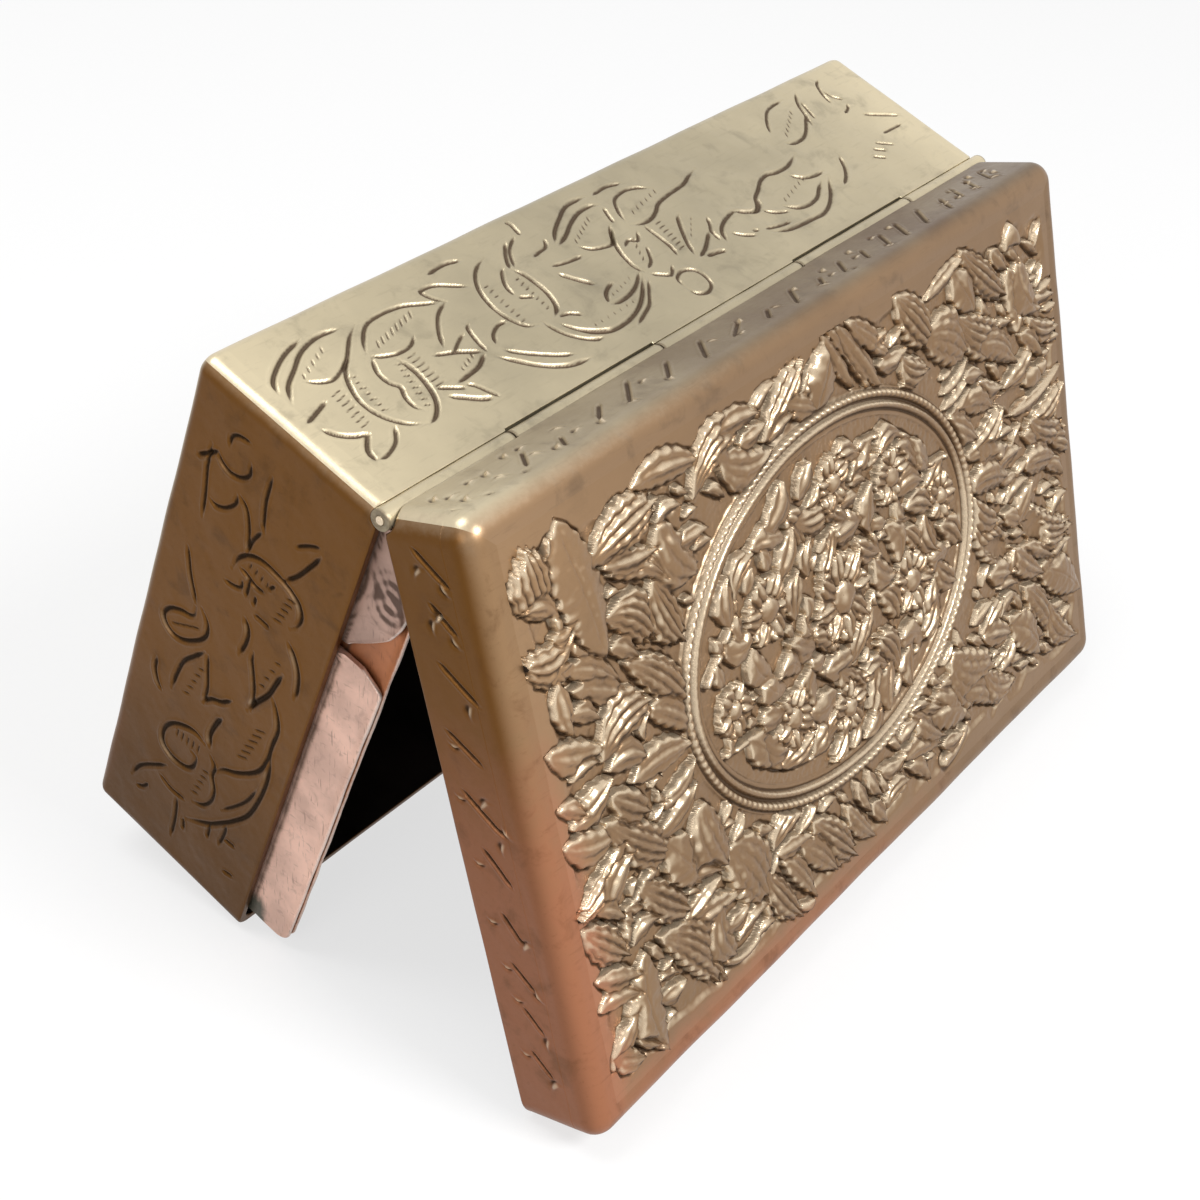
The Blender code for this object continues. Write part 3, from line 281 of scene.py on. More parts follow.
LEFT_CUTS = (
    (1.4, (9, 4.1), (11, 4.9), (13, 5.8), (14.6, 6.9)), (0.9, (8.2, 4.5), (9.1, 5.7), (10.2, 6.8)),
    (1.4, (19, 4.9), (18.2, 4.3), (16.8, 4.2), (15.6, 4.9), (14.9, 6.3), (14.6, 8), (14.6, 9.6),
     (15.2, 11), (16.4, 12), (18, 12.4)),
    (1, (5.5, 11), (8, 11), (10.5, 10.6), (11.5, 10.2)), (1, (11.8, 10.5), (13.3, 11.1), (15, 11.3)),
    (0.9, (15, 11.3), (13, 11.7), (11, 12.5), (10, 13.6)),
    (0.9, (17.7, 8.5), (17.8, 9.5), (17.4, 10.6), (17.2, 11.5)), (0.8, (17.5, 10.3), (19.8, 10.2)),
    (0.8, (18.4, 11), (19.4, 11), (19.9, 12), (20, 12.8)), (0.8, (18.9, 9.2), (20.1, 9.2)),
    (0.8, (16, 7.6), (17, 8.2)),
    (1.4, (20.7, 4.6), (21.8, 3.5), (23.2, 2.7), (25, 2.3), (26.2, 2.3)),
    (1.9, (24.8, 4.2), (26.5, 4.6), (28.5, 5), (30.5, 5.9), (32.3, 6.6)),
    (1.5, (28.2, 4.4), (29.5, 3.6), (31.5, 2.9), (34, 3), (36, 3), (38, 3.3), (39.6, 4.2),
     (41.2, 5.7), (42.3, 7.2), (43.6, 8.1)),
    (1, (32, 6.2), (30, 6.4), (27.8, 7.1), (26.3, 7.7), (25.2, 7.8)),
    (1.4, (22.3, 9.7), (23.5, 9), (25, 8.9), (26.8, 9.2)), (0.9, (21, 7), (21, 8.8)),
    (1, (30.2, 12.4), (32, 12), (34, 11.5), (36.3, 11.4)),
    (1.4, (33, 8.5), (34.2, 9.5), (35, 10.7), (36.3, 11.6)),
    (1.4, (30.2, 12.8), (31.8, 13.8), (33.7, 14.9), (36, 15.3), (38, 15.4)),
    (1.4, (25.5, 14.4), (26.6, 13.5), (28, 13.2), (29.2, 13.6), (30.3, 14.5), (31.2, 15.6),
     (31.5, 16.8), (31, 17.9), (30, 18.4), (28.8, 17.8), (28, 16.6), (27.7, 15.6), (27.2, 15.1),
     (26, 15.1)),
    (0.9, (7.3, 17.8), (10, 17.7), (13, 17.2), (15.5, 16.9)),
    (0.9, (20, 17.6), (22.5, 16.7), (24.3, 15.8), (25.5, 15.2)),
    (1, (10.2, 13.9), (11.3, 13.9), (12.5, 14.7), (13.1, 15.8), (12.9, 16.5)),
    (1, (6, 13.4), (7.3, 13.3), (8.2, 14), (8.6, 15.2), (8.3, 16.3), (7.6, 17)),
    (0.9, (4, 14), (4.3, 15.3), (5, 16), (6, 16)), (1.3, (7.6, 17), (8.7, 18), (9.7, 19)),
    (1.5, (35, 2.8), (37.5, 2.4), (40, 2.3), (43, 2.6), (45.5, 3.2), (47.8, 4.5), (49.3, 5.6),
     (50.8, 6.8), (52, 8.2), (53, 9.6)),
    (0.8, (41, 3), (43.5, 3.7), (45.5, 4.7), (47.5, 6)),
    (1.9, (36.3, 9), (37.5, 9.5), (39.5, 9.8), (41, 9.4)),
    (1, (42, 9), (43, 8.2), (44.4, 8.2), (46, 7.5), (47.7, 7.5), (49.2, 8.2), (50, 9.5)),
    (1.5, (41.2, 10), (40.9, 11.5), (41.5, 13), (42.7, 14.4), (44.3, 15.1), (46, 14.9),
     (46.8, 13.7), (46.8, 12.2), (46.2, 11), (45.2, 10.6), (44, 10.6), (43.7, 11.2)),
    (1.2, (48.6, 13.6), (50, 15), (52, 16.7), (54, 17.4)), (0.9, (53.4, 15.2), (54.4, 15.7), (55, 16.5)),
    (0.8, (50.8, 3.3), (51, 4.7)), (0.9, (49, 4.9), (51, 5), (52.5, 5.2)), (0.8, (51, 6.8), (53, 6.7)),
    (0.9, (53.5, 10), (55, 9.7)), (0.9, (51.5, 11.4), (54.5, 11), (57.5, 10.9)),
    (0.9, (50.8, 10.5), (51, 12.5), (50.5, 14)), (1.3, (36, 17.9), (37.5, 17.8), (39, 17.1), (39.5, 16.5)),
    (0.8, (55, 2.5), (55.4, 3.8)),
)
LEFT_HATCHES = (
    (16, 5.6, 19.4, 6.4, 1.2, 75, 5), (16.6, 8.4, 16.2, 10.6, 1.0, 10, 4), (28.5, 14.6, 30, 16.8, 1.2, 60, 4),
    (42.6, 10.6, 43, 13.4, 1.3, 0, 5), (24, 5, 28, 5.9, 0.9, 70, 4), (33.5, 4.6, 38.5, 5.6, 1.5, 60, 6),
    (44.6, 9, 48.6, 9.6, 1.1, 70, 5), (32.5, 12.6, 37, 13.6, 1.0, 65, 5),
)
LID_LEFT_CUTS = (
    (1.1, (2.7, 3), (6, 6.2)), (1.1, (7.5, 3.5), (10.2, 5.8)), (1.1, (13, 3), (16.5, 6.5)),
    (1, (19.5, 2), (22.5, 5.3)), (1.1, (25.3, 2.2), (29.2, 5.8)), (1, (31, 3), (34.5, 5.5)),
    (0.9, (37.5, 3.5), (40.5, 5.2)), (0.8, (42.8, 3.2), (45.6, 5.4)), (0.7, (47.6, 3.4), (50.2, 5.3)),
    (0.7, (52.4, 3.2), (55, 5.2)),
)
LID_LEFT_COMMAS = (
    (4.5, 2.8), (6.3, 5.2), (9.5, 3), (8.5, 4), (11, 5.1), (17, 5), (26, 4.2), (29, 5.8), (30.3, 5),
    (40.2, 5.3), (46, 5.2), (50.8, 5.1), (55.4, 5),
)
LID_LEFT_DOTS = ((21.3, 2.5), (26.5, 1.8), (33, 2.2), (39, 2.2), (43.8, 2.6), (47.2, 3), (53.3, 2.5))
LID_BACK_CUTS = (
    (1, (11.3, 6.3), (13.7, 3.7)), (0.9, (15.9, 6.8), (17.4, 4.9)), (1, (21.5, 6), (24.5, 3.6)),
    (1.1, (25.5, 6.3), (30, 2.5)), (1.1, (31, 6.6), (35, 3.2)), (1.2, (36.3, 6.9), (40.8, 2.8)),
    (1, (42, 6), (46.2, 3.6)), (1, (47.2, 6.5), (49.5, 4.6)), (1.1, (51.4, 7), (55, 3.6)),
    (1, (56.6, 6.6), (58.6, 4.8)), (1, (60.4, 6.8), (63.6, 3.8)), (1, (64.8, 6.8), (67, 4.4)),
    (1.1, (69, 6.8), (72.2, 3.4)), (1.3, (72.2, 7), (76, 3)), (1.3, (76.2, 7), (81, 2.8)),
    (1.1, (81.4, 7), (84.6, 3.6)), (1, (85.4, 6.2), (88, 3)), (1, (88.4, 6.4), (91.2, 3)),
    (0.9, (91.8, 6.2), (94.4, 3)),
)
LID_BACK_COMMAS = (
    (3.3, 2.8), (2, 6), (4.2, 3.8), (4.1, 5.5), (5.8, 6.9), (7.2, 3.2), (8.8, 3.6), (9, 5.2), (10.5, 6.8),
    (12.3, 2.6), (13.8, 5), (14.2, 2.8), (15.2, 6), (19, 3.2), (18.8, 5.2), (20.9, 6.3), (25.9, 6.2),
    (30.1, 3.9), (31.1, 6.1), (40.9, 4.1), (43, 5.8), (45.8, 3.6), (50.3, 5), (51.8, 7.2), (54.8, 4),
    (56.8, 6.2), (59.6, 5.4), (60.4, 3.8), (61.8, 7), (64.8, 5), (66, 3.4), (69.2, 6.4), (70.8, 3.2),
    (74.2, 3.2), (83.4, 4.8), (85.2, 5.4), (87, 3.4), (88.8, 5.6), (90.4, 3.6), (92.2, 2.8), (93, 5.8),
    (94.6, 3.4), (94.2, 4.8),
)


def length_setting(name, description, default, low, high):
    """A length that a user would change, from millimetres."""
    return bpy.props.FloatProperty(
        name=name, description=description, unit="LENGTH",
        default=default * MM, min=low * MM, max=high * MM,
    )


def colour_setting(name, description, default):
    """A colour that a user would change."""
    return bpy.props.FloatVectorProperty(
        name=name, description=description, subtype="COLOR", default=default, min=0, max=1,
    )


class SilverSizes(bpy.types.PropertyGroup):
    """Sizes that a user would change."""

    body_corner: length_setting("Body corner", "Radius of the body's upright corners", 1.5, 0.4, 2)
    lid_corner: length_setting("Lid corner", "Radius of the lid's upright corners", 2.2, 0.4, 2.5)
    leaf_relief: length_setting("Leaf relief", "Height of the leaves above the plain border", 0.6, 0.1, 0.8)
    ground_sink: length_setting("Ground sink", "Depth of the ground between the leaves", 0.34, 0, 0.6)
    cut_depth: length_setting("Cut depth", "Depth of the graver's cuts on the walls", 0.24, 0.05, 0.4)
    cut_width: length_setting("Cut width", "Width of the graver's cuts on the walls", 0.46, 0.2, 0.9)
    hand_wobble: length_setting("Hand wobble", "How far hand-raised sheet wanders from true", 0.07, 0, 0.2)
    pitch: length_setting("Surface pitch", "Spacing of the points on chased surfaces", 0.12, 0.1, 1)


class SilverColours(bpy.types.PropertyGroup):
    """Colours that a user would change."""

    # Besides worn bright silver, this colour serves as the painted highlight on slopes that face the light.
    polish_and_highlight_colour: colour_setting("Polished silver", "Rubbed edges and high spots", (0.76, 0.62, 0.44))
    strip: colour_setting("Upper strips", "The back walls on either side of the hinge", (0.44, 0.375, 0.25))
    panel: colour_setting("Lid panel", "The chased panel", (0.285, 0.172, 0.088))
    # The brown-orange of these walls is partly their toning and partly a painted warm reflection from below.
    toned_and_reflection: colour_setting("Toned walls", "The browned end and front walls", (0.150, 0.064, 0.014))
    # Besides the tarnish colour, this serves as the painted shade on slopes that face away from the light.
    hollow: colour_setting("Hollows", "Tarnish left in the cuts and hollows", (0.060, 0.032, 0.014))
    # The orange at the low edges is partly toning and partly a painted warm reflection from below.
    ember: colour_setting("Ember tone", "Orange toning at the low edges", (0.40, 0.165, 0.085))
    bare: colour_setting("Bare silver", "Unpolished flanges and lobes", (0.70, 0.45, 0.355))
    # The liner's dark orange is painted shade, where it stands behind the flange and lobe, with a painted
    # warm reflection.
    liner: colour_setting("Warm liner", "The liner between flange and lobe", (0.39, 0.14, 0.055))
    # The inside is painted nearly black for the shade that fills it, over dark oxidised metal.
    inside: colour_setting("Inside", "The dark inside of both halves", (0.030, 0.021, 0.016))
    floor: colour_setting("Floor", "The plain floor", (0.92, 0.92, 0.92))


# Surfaces


def farthest_reach(height, edge):
    """How far sideways of the hinge axis a leaning half's rounded front edge reaches."""
    return (DEPTH - HINGE_INSET - edge) * math.sin(LEAN) + (height - edge) * math.cos(LEAN) + edge


# The hinge axis: as high as the rims that stand on the floor put it, and midway
# between the farthest reaches of the two halves
HINGE_Y = (farthest_reach(LID_HEIGHT, LID_EDGE) - farthest_reach(BODY_HEIGHT, BODY_EDGE)) / 2
HINGE_Z = (DEPTH - HINGE_INSET) * math.cos(LEAN) - HALF_RIM * math.sin(LEAN)


class Half:
    """One half of the box: its side is 1 towards +Y and -1 towards -Y, its edge a radius."""

    def __init__(self, name, side, height, edge, corner):
        self.name = name
        self.side = side
        self.height = height
        self.edge = edge
        self.corner = corner

    def place(self, along, depth, height):
        """Frame points in metres: the hinge axis, plus depth down the lean and height square to it."""
        reach = depth - HINGE_INSET
        y = HINGE_Y + self.side * (reach * math.sin(LEAN) + height * math.cos(LEAN))
        z = HINGE_Z - reach * math.cos(LEAN) + height * math.sin(LEAN)
        x = along - LENGTH / 2 + np.zeros_like(y)
        return np.stack(np.broadcast_arrays(x, y, z), axis=-1) * MM


def both_halves():
    """The body and the lid, with the corner radii that the panel of sizes holds."""
    sizes = bpy.context.scene.silver_sizes
    return {
        BODY: Half(BODY, 1, BODY_HEIGHT, BODY_EDGE, sizes.body_corner / MM),
        LID: Half(LID, -1, LID_HEIGHT, LID_EDGE, sizes.lid_corner / MM),
    }


def hand_wobble(half, along, depth, height):
    """How far the sheet wanders: a sum of slow sine waves that runs on round the corners."""
    size = bpy.context.scene.silver_sizes.hand_wobble / MM
    shift = 0.0 if half.name == BODY else 2.1
    slow = np.sin(along * 0.19 + depth * 0.11 + shift) * np.sin(depth * 0.23 - height * 0.17 + shift)
    quick = np.sin(along * 0.47 - depth * 0.31 + shift * 2)
    quick = quick * np.cos(depth * 0.41 + height * 0.5 + along * 0.13)
    return size * (0.65 * slow + 0.35 * quick)


def smooth_step(low, high, value):
    """0 below low, 1 above high, and the cubic between."""
    share = np.clip((value - low) / (high - low), 0, 1)
    return share * share * (3 - 2 * share)


def box_blur(values, reach):
    """The mean over a square window, from running sums along each axis, twice over."""
    result = values
    for axis in (0, 1, 0, 1):
        padding = [(0, 0), (0, 0)]
        padding[axis] = (reach + 1, reach)
        total = np.cumsum(np.pad(result, padding, mode="edge"), axis=axis)
        count = values.shape[axis]
        high = np.take(total, np.arange(count) + 2 * reach + 1, axis=axis)
        low = np.take(total, np.arange(count), axis=axis)
        result = (high - low) / (2 * reach + 1)
    return result


def value_noise(along, depth, scale, seed):
    """Smooth noise from -1 to 1: seeded values on a lattice, blended with a cubic."""
    side = 97
    table = np.random.default_rng(seed).uniform(-1, 1, (side, side))
    x = along / scale
    y = depth / scale
    column = np.floor(x).astype(int)
    row = np.floor(y).astype(int)
    fx = smooth_step(0, 1, x - column)
    fy = smooth_step(0, 1, y - row)
    here, beside = column % side, (column + 1) % side
    near, far = [
        table[here, line % side] * (1 - fx) + table[beside, line % side] * fx for line in (row, row + 1)
    ]
    return near * (1 - fy) + far * fy


def put_piece(name, body, points, faces, materials, marks,
              kinds=None, normals=None, plain=None, caps=()):
    """A closed piece from arrays: points, four-sided faces, each face's material and marks per point.

    Where the faces enclose a negative volume they are all turned, so that they point outwards.
    Normals, where given, hold for the faces that aren't plain; caps are flat many-sided faces.
    """
    points = points.reshape(-1, 3)
    corners = points[faces]
    volume = np.einsum("ij,ij->i", corners[:, 0], np.cross(corners[:, 1], corners[:, 2])).sum()
    volume += np.einsum("ij,ij->i", corners[:, 0], np.cross(corners[:, 2], corners[:, 3])).sum()
    for cap in caps:
        ring = points[cap]
        volume += np.einsum("j,ij->i", ring[0], np.cross(ring[1:-1], ring[2:])).sum()
    if volume < 0:
        faces = faces[:, ::-1]
        caps = [cap[::-1] for cap in caps]
    loops = np.concatenate([faces.ravel(), *caps]).astype(np.int32)
    sizes = np.array([4] * len(faces) + [len(cap) for cap in caps], np.int32)
    starts = np.concatenate([[0], np.cumsum(sizes)[:-1]]).astype(np.int32)
    mesh = bpy.data.meshes.new(name)
    mesh.vertices.add(len(points))
    mesh.vertices.foreach_set("co", points.astype(np.float32).ravel())
    mesh.loops.add(len(loops))
    mesh.loops.foreach_set("vertex_index", loops)
    mesh.polygons.add(len(sizes))
    mesh.polygons.foreach_set("loop_start", starts)
    for material in materials:
        mesh.materials.append(material)
    face_kinds = np.full(len(sizes), len(materials) - 1, np.int32)
    face_kinds[:len(faces)] = 0 if kinds is None else kinds
    mesh.polygons.foreach_set("material_index", face_kinds)
    mesh.update(calc_edges=True)
    for mark, values in marks.items():
        layer = mesh.attributes.new(mark, "FLOAT", "POINT")
        layer.data.foreach_set("value", np.clip(values, 0, 1).astype(np.float32).ravel())
    flat = np.ones(len(sizes), bool)
    flat[:len(faces)] = False if plain is None else plain
    mesh.polygons.foreach_set("use_smooth", ~flat)
    if normals is not None:
        wanted = normals.reshape(-1, 3)[loops]
        wanted[np.repeat(flat, sizes)] = 0
        mesh.normals_split_custom_set(wanted)
    mesh.validate(clean_customdata=False)
    piece = bpy.data.objects.new(name, mesh)
    bpy.context.scene.collection.objects.link(piece)
    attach(piece, body)
    return piece


def grid_faces(rows, columns, rows_join=False, columns_join=False):
    """Four-sided faces of a grid of points, counted row by row, with either way joined up."""
    row = np.arange(rows if rows_join else rows - 1)
    column = np.arange(columns if columns_join else columns - 1)
    row, column = np.meshgrid(row, column, indexing="ij")
    next_row = (row + 1) % rows
    next_column = (column + 1) % columns
    corners = (
        row * columns + column, row * columns + next_column,
        next_row * columns + next_column, next_row * columns + column,
    )
    return np.stack(corners, axis=-1).reshape(-1, 4)


def end_caps(rows, columns):
    """The first and the last column of a grid as two many-sided faces that face apart."""
    first = np.arange(rows) * columns
    return [first, first[::-1] + columns - 1]


def grid_normals(points):
    """Unit normals of a grid of points: the cross product of its two slopes."""
    down = np.gradient(points, axis=0)
    across = np.gradient(points, axis=1)
    normal = np.cross(down, across)
    return normal / np.maximum(np.linalg.norm(normal, axis=-1, keepdims=True), 1e-20)


# Ornament


def smooth_path(points, step):
    """Points every step along a curve through the given ones, and each one's share of the length.

    Each span is a cubic whose slope at either end runs along the line between that end's neighbours.
    """
    knots = np.array(points, float)
    if len(knots) == 2:
        count = max(int(np.linalg.norm(knots[1] - knots[0]) / step), 2)
        share = np.linspace(0, 1, count + 1)[:, None]
        path = knots[0] * (1 - share) + knots[1] * share
    else:
        padded = np.vstack([2 * knots[0] - knots[1], knots, 2 * knots[-1] - knots[-2]])
        spans = []
        for index in range(len(knots) - 1):
            a, b, c, d = padded[index:index + 4]
            count = max(int(np.linalg.norm(c - b) / step), 2)
            t = (np.arange(count) / count)[:, None]
            spans.append(
                0.5 * (2 * b + (c - a) * t + (2 * a - 5 * b + 4 * c - d) * t**2
                       + (3 * b - a - 3 * c + d) * t**3)
            )
        path = np.vstack([*spans, knots[-1:]])
    run = np.concatenate([[0], np.cumsum(np.linalg.norm(np.diff(path, axis=0), axis=1))])
    return path, run / max(run[-1], 1e-9)


class Chasing:
    """Heights in millimetres over a grid with straight axes, worked on with tools."""

    def __init__(self, along, across):
        self.along = along
        self.across = across
        self.height = np.zeros((len(along), len(across)))
        self.stain = np.zeros_like(self.height)
        self.gleam = np.zeros_like(self.height)
        self.covered = np.zeros_like(self.height)

    def window(self, low, high):
        """Slices and local coordinates of the grid's part between two corners."""
        i0, i1 = np.searchsorted(self.along, (low[0], high[0]))
        j0, j1 = np.searchsorted(self.across, (low[1], high[1]))
        part = (slice(i0, i1), slice(j0, j1))
        x, y = np.meshgrid(self.along[part[0]], self.across[part[1]], indexing="ij")
        return part, x, y

    def around(self, along, across, reach):
        """The window within a reach of a spot."""
        return self.window((along - reach, across - reach), (along + reach, across + reach))

    def grid(self):
        """The coordinates of every point."""
        return np.meshgrid(self.along, self.across, indexing="ij")

    def line(self, points, width, depth):
        """A cut with a thrown-up lip: a bell of the distance to the path that tapers at both ends."""
        lip = 0.22
        path, share = smooth_path(points, 0.3)
        reach = width * 1.6
        part, x, y = self.window(path.min(0) - reach, path.max(0) + reach)
        if x.size == 0:
            return
        best = np.zeros_like(x)
        edge = np.zeros_like(x)
        taper = np.clip(np.sin(np.pi * np.clip(share, 0.02, 0.98)) * 2.2, 0, 1) ** 0.7
        for index in range(len(path) - 1):
            start, end = path[index], path[index + 1]
            run = end - start
            size = float(run @ run)
            low = np.minimum(start, end) - reach
            high = np.maximum(start, end) + reach
            i0, i1 = np.searchsorted(x[:, 0], (low[0], high[0]))
            j0, j1 = np.searchsorted(y[0, :], (low[1], high[1]))
            gx = x[i0:i1, j0:j1] - start[0]
            gy = y[i0:i1, j0:j1] - start[1]
            t = np.clip((gx * run[0] + gy * run[1]) / max(size, 1e-9), 0, 1)
            away = np.hypot(gx - run[0] * t, gy - run[1] * t)
            strength = taper[index] * (1 - t) + taper[index + 1] * t
            wide = width * (0.55 + 0.45 * strength)
            groove = strength * np.exp(-((away / (0.42 * wide)) ** 2))
            rise = strength * np.exp(-(((away - 0.8 * wide) / (0.3 * wide)) ** 2))
            best[i0:i1, j0:j1] = np.maximum(best[i0:i1, j0:j1], groove)
            edge[i0:i1, j0:j1] = np.maximum(edge[i0:i1, j0:j1], rise)
        self.height[part] += depth * (lip * edge * (1 - best) - best)
        self.stain[part] = np.maximum(self.stain[part], best ** 1.3 * min(depth / 0.15, 1.0))

    def ridge(self, points, width, rise):
        """A raised cord along a path, standing on its ground with a groove on both sides."""
        path, _ = smooth_path(points, 0.3)
        part, x, y = self.window(path.min(0) - width * 2, path.max(0) + width * 2)
        if x.size == 0:
            return
        away = np.full(x.shape, 99.0)
        for start, end in zip(path[:-1], path[1:]):
            run = end - start
            t = np.clip(((x - start[0]) * run[0] + (y - start[1]) * run[1]) / max(run @ run, 1e-9), 0, 1)
            away = np.minimum(away, np.hypot(x - start[0] - run[0] * t, y - start[1] - run[1] * t))
        inside = smooth_step(width * 0.62, width * 0.42, away)
        trench = np.exp(-(((away - width * 0.75) / (width * 0.25)) ** 2))
        crown = rise * np.sqrt(np.clip(1 - (away / (width * 0.55)) ** 2, 0, 1))
        old = self.height[part] - 0.18 * trench
        self.height[part] = old * (1 - inside) + crown * inside
        self.stain[part] = np.maximum(self.stain[part] * (1 - inside), 0.6 * trench)

    def comma(self, along, across, angle, size, depth):
        """A comma punch: a round dent with a tail and a raised bank on one side."""
        part, x, y = self.around(along, across, size * 2)
        turn = math.radians(angle)
        a = (x - along) * math.cos(turn) + (y - across) * math.sin(turn)
        b = -(x - along) * math.sin(turn) + (y - across) * math.cos(turn) - 0.35 / size * a * a
        dent = np.exp(-((a / (0.75 * size)) ** 2) - ((b / (0.3 * size)) ** 2))
        bank = np.exp(-((a / (0.7 * size)) ** 2) - (((b - 0.55 * size) / (0.26 * size)) ** 2))
        self.height[part] += depth * (0.8 * bank - dent)
        self.stain[part] = np.maximum(self.stain[part], 0.55 * dent ** 1.5)
        self.gleam[part] = np.maximum(self.gleam[part], 0.7 * bank)

    def leaf(self, leaf, relief, lean, bend):
        """One leaf laid over what is there, with a crease driven all round it.

        The outline is a width that swells and closes along the axis. The crown stands off the
        middle by the lean; flutes run lengthwise, close up at the base and notch the tip.
        """
        along, across, angle, length, width, kind = leaf
        power, swell, spacing, cut, roof, notch = LEAF_FORMS[kind]
        reach = length * 0.6 + 1.2
        part, x, y = self.around(along, across, reach)
        if x.size == 0:
            return
        turn = math.radians(angle)
        a = ((x - along) * math.cos(turn) + (y - across) * math.sin(turn)) / (length * 0.5)
        b = -(x - along) * math.sin(turn) + (y - across) * math.cos(turn)
        b = b - bend * width * 0.55 * np.clip(1 - a * a, 0, 1)
        flutes = max(round(width / spacing), 2)
        lobes = 0.5 - 0.5 * np.cos(b / (0.53 * width) * flutes * math.pi)
        a = a + notch * lobes * smooth_step(0.1, 0.9, a)
        core = np.clip(1 - a * a, 0, 1)
        ripple = 1 + 0.06 * np.sin(a * length * 2.1 + along * 3)
        half_width = 0.55 * width * core ** power * (1 + swell * a) * ripple
        beyond = np.maximum(np.abs(a) - 1, 0) * length * 0.5
        within = np.minimum(half_width - np.abs(b), (1 - np.abs(a)) * length * 0.5)
        inward = np.where(beyond > 0, -np.hypot(b, beyond), within)
        signed = np.clip(b / np.maximum(half_width, 1e-3), -1, 1)
        crown = 0.38 * lean
        fall = np.where(signed > crown, (signed - crown) / (1 - crown), (crown - signed) / (1 + crown))
        dome = np.sqrt(np.clip(1 - fall * fall, 0, 1))
        swelling = dome * (1 - roof) + np.clip(1 - fall, 0, 1) ** 0.8 * roof
        grow = min(width / 3.2, 1.5) ** 0.6
        run = smooth_step(-1.35, 0.1, a) * (1 - 0.22 * smooth_step(0.3, 1.0, a))
        face = relief * (0.12 + 1.08 * swelling * grow * run)
        if kind == "k":
            face = relief * (0.75 - 1.5 * dome)
        groove = (0.5 - 0.5 * np.cos(signed * flutes * math.pi)) ** 1.4 * smooth_step(-1.0, -0.2, a)
        groove = groove * smooth_step(0, 0.2, inward)
        face = face - min(cut, 0.11 * width) * groove
        if kind == "s":
            face = face - 0.12 * np.exp(-((b / 0.16) ** 2)) * smooth_step(0.98, 0.6, np.abs(a))
        face = face + relief * (0.1 * value_noise(x, y, 1.1, 17) + 0.05 * value_noise(x, y, 0.45, 18))
        cover = smooth_step(-0.02, 0.19, inward)
        crease = np.exp(-(((inward + 0.05) / 0.16) ** 2)) * (inward < 0.1)
        old = self.height[part] - 0.20 * crease
        self.height[part] = old * (1 - cover) + face * cover
        kept = self.stain[part] * (1 - cover)
        self.stain[part] = np.maximum(kept, np.maximum(0.42 * crease, 2.0 * cut * groove * groove * cover))
        self.covered[part] = np.maximum(self.covered[part], cover)

    def marks(self, pitch, light_from, grime=0.25):
        """How sunk and how raised each point is against the mean of its surroundings, with painted light
        added.

        Slopes that face the light are brightened as a painted highlight, and slopes that face away are
        darkened with the cuts' dark colour as a painted shade. Grime spreads round whatever is stained.
        """
        reach = max(round(0.5 / pitch), 1)
        mean = box_blur(self.height, reach)
        wide = box_blur(self.height, reach * 3)
        soft = box_blur(self.height, 1)
        # Painted light: slopes that rise along the given way are brightened as a painted highlight, and
        # slopes that fall along it are darkened as a painted shade.
        slope = (np.gradient(soft, axis=0) * light_from[0] + np.gradient(soft, axis=1) * light_from[1]) / pitch
        painted_highlight = np.clip((slope - 0.06) / 0.55, 0, 1)
        painted_shade = np.clip(-slope / 0.75, 0, 1)
        low = np.clip((mean - self.height) / 0.2, 0, 1) * 0.4
        low += np.clip((wide - self.height) / 0.6, 0, 1) * 0.2
        high = np.clip((self.height - mean) / 0.16, 0, 1) * 0.25
        high += np.clip((self.height - wide) / 0.5, 0, 1) * 0.15
        spread = box_blur(self.stain, max(round(0.8 / pitch), 1))
        # Dark patina in hollows and cuts, less on slopes facing the light, plus the painted shade. Raised
        # spots worn bright, plus the painted highlight.
        hollow = low + 0.85 * self.stain * (1 - 0.5 * painted_highlight) + 0.70 * painted_shade + grime * spread
        proud_and_highlight = high * (1 - 0.8 * painted_shade) + 0.9 * painted_highlight * (1 - 0.7 * self.stain) + self.gleam
        return np.clip(hollow, 0, 1), np.clip(proud_and_highlight, 0, 1)


def medallion_ring(work):
    """Two raised rings round the medallion: a roped outer one, a plain inner one and a fine line inside."""
    cx, cy = MEDALLION_CENTRE
    a, b = MEDALLION_AXES
    part, x, y = work.window((cx - a - 2, cy - b - 2), (cx + a + 2, cy + b + 2))
    px, py = x - cx, y - cy
    angle = np.linspace(-math.pi, math.pi, 721)
    steps = np.hypot(np.diff(a * np.cos(angle)), np.diff(b * np.sin(angle)))
    run = np.concatenate([[0], np.cumsum(steps)])
    rope_spacing = 0.95
    ropes = round(run[-1] / rope_spacing)
    twist = np.interp(np.arctan2(py / b, px / a), angle, run) / run[-1] * ropes
    ring = np.hypot(px / a, py / b)
    slope = np.hypot(px / a**2, py / b**2) / np.maximum(ring, 1e-6)
    away = (ring - 1) / np.maximum(slope, 1e-6)
    field = work.height[part]
    band = smooth_step(0.35, 0.1, np.abs(away + 1.15) - 1.25)
    field = field * (1 - band) - 0.12 * band
    for middle, half_width, rise, knots in ((-0.40, 0.42, 0.36, 0.32), (-1.58, 0.36, 0.30, 0.08)):
        share = np.clip(1 - ((away - middle) / half_width) ** 2, 0, 1)
        notch = 0.5 + 0.5 * np.cos(2 * math.pi * (twist + (away - middle) * 0.4))
        field = field + (rise + 0.12) * np.sqrt(share) * (1 - knots * notch ** 1.5)
    lines = np.maximum.reduce([np.exp(-(((away - spot) / 0.15) ** 2)) for spot in (0.05, -0.98, -2.05)])
    field = field - 0.12 * lines
    work.stain[part] = np.maximum(work.stain[part] * (1 - band), 0.7 * lines)
    work.height[part] = field


def hand_turn(random):
    """How a leaf's crown leans and how its axis bends, each from -1 to 1."""
    return random.uniform(-1, 1), random.uniform(-1, 1)


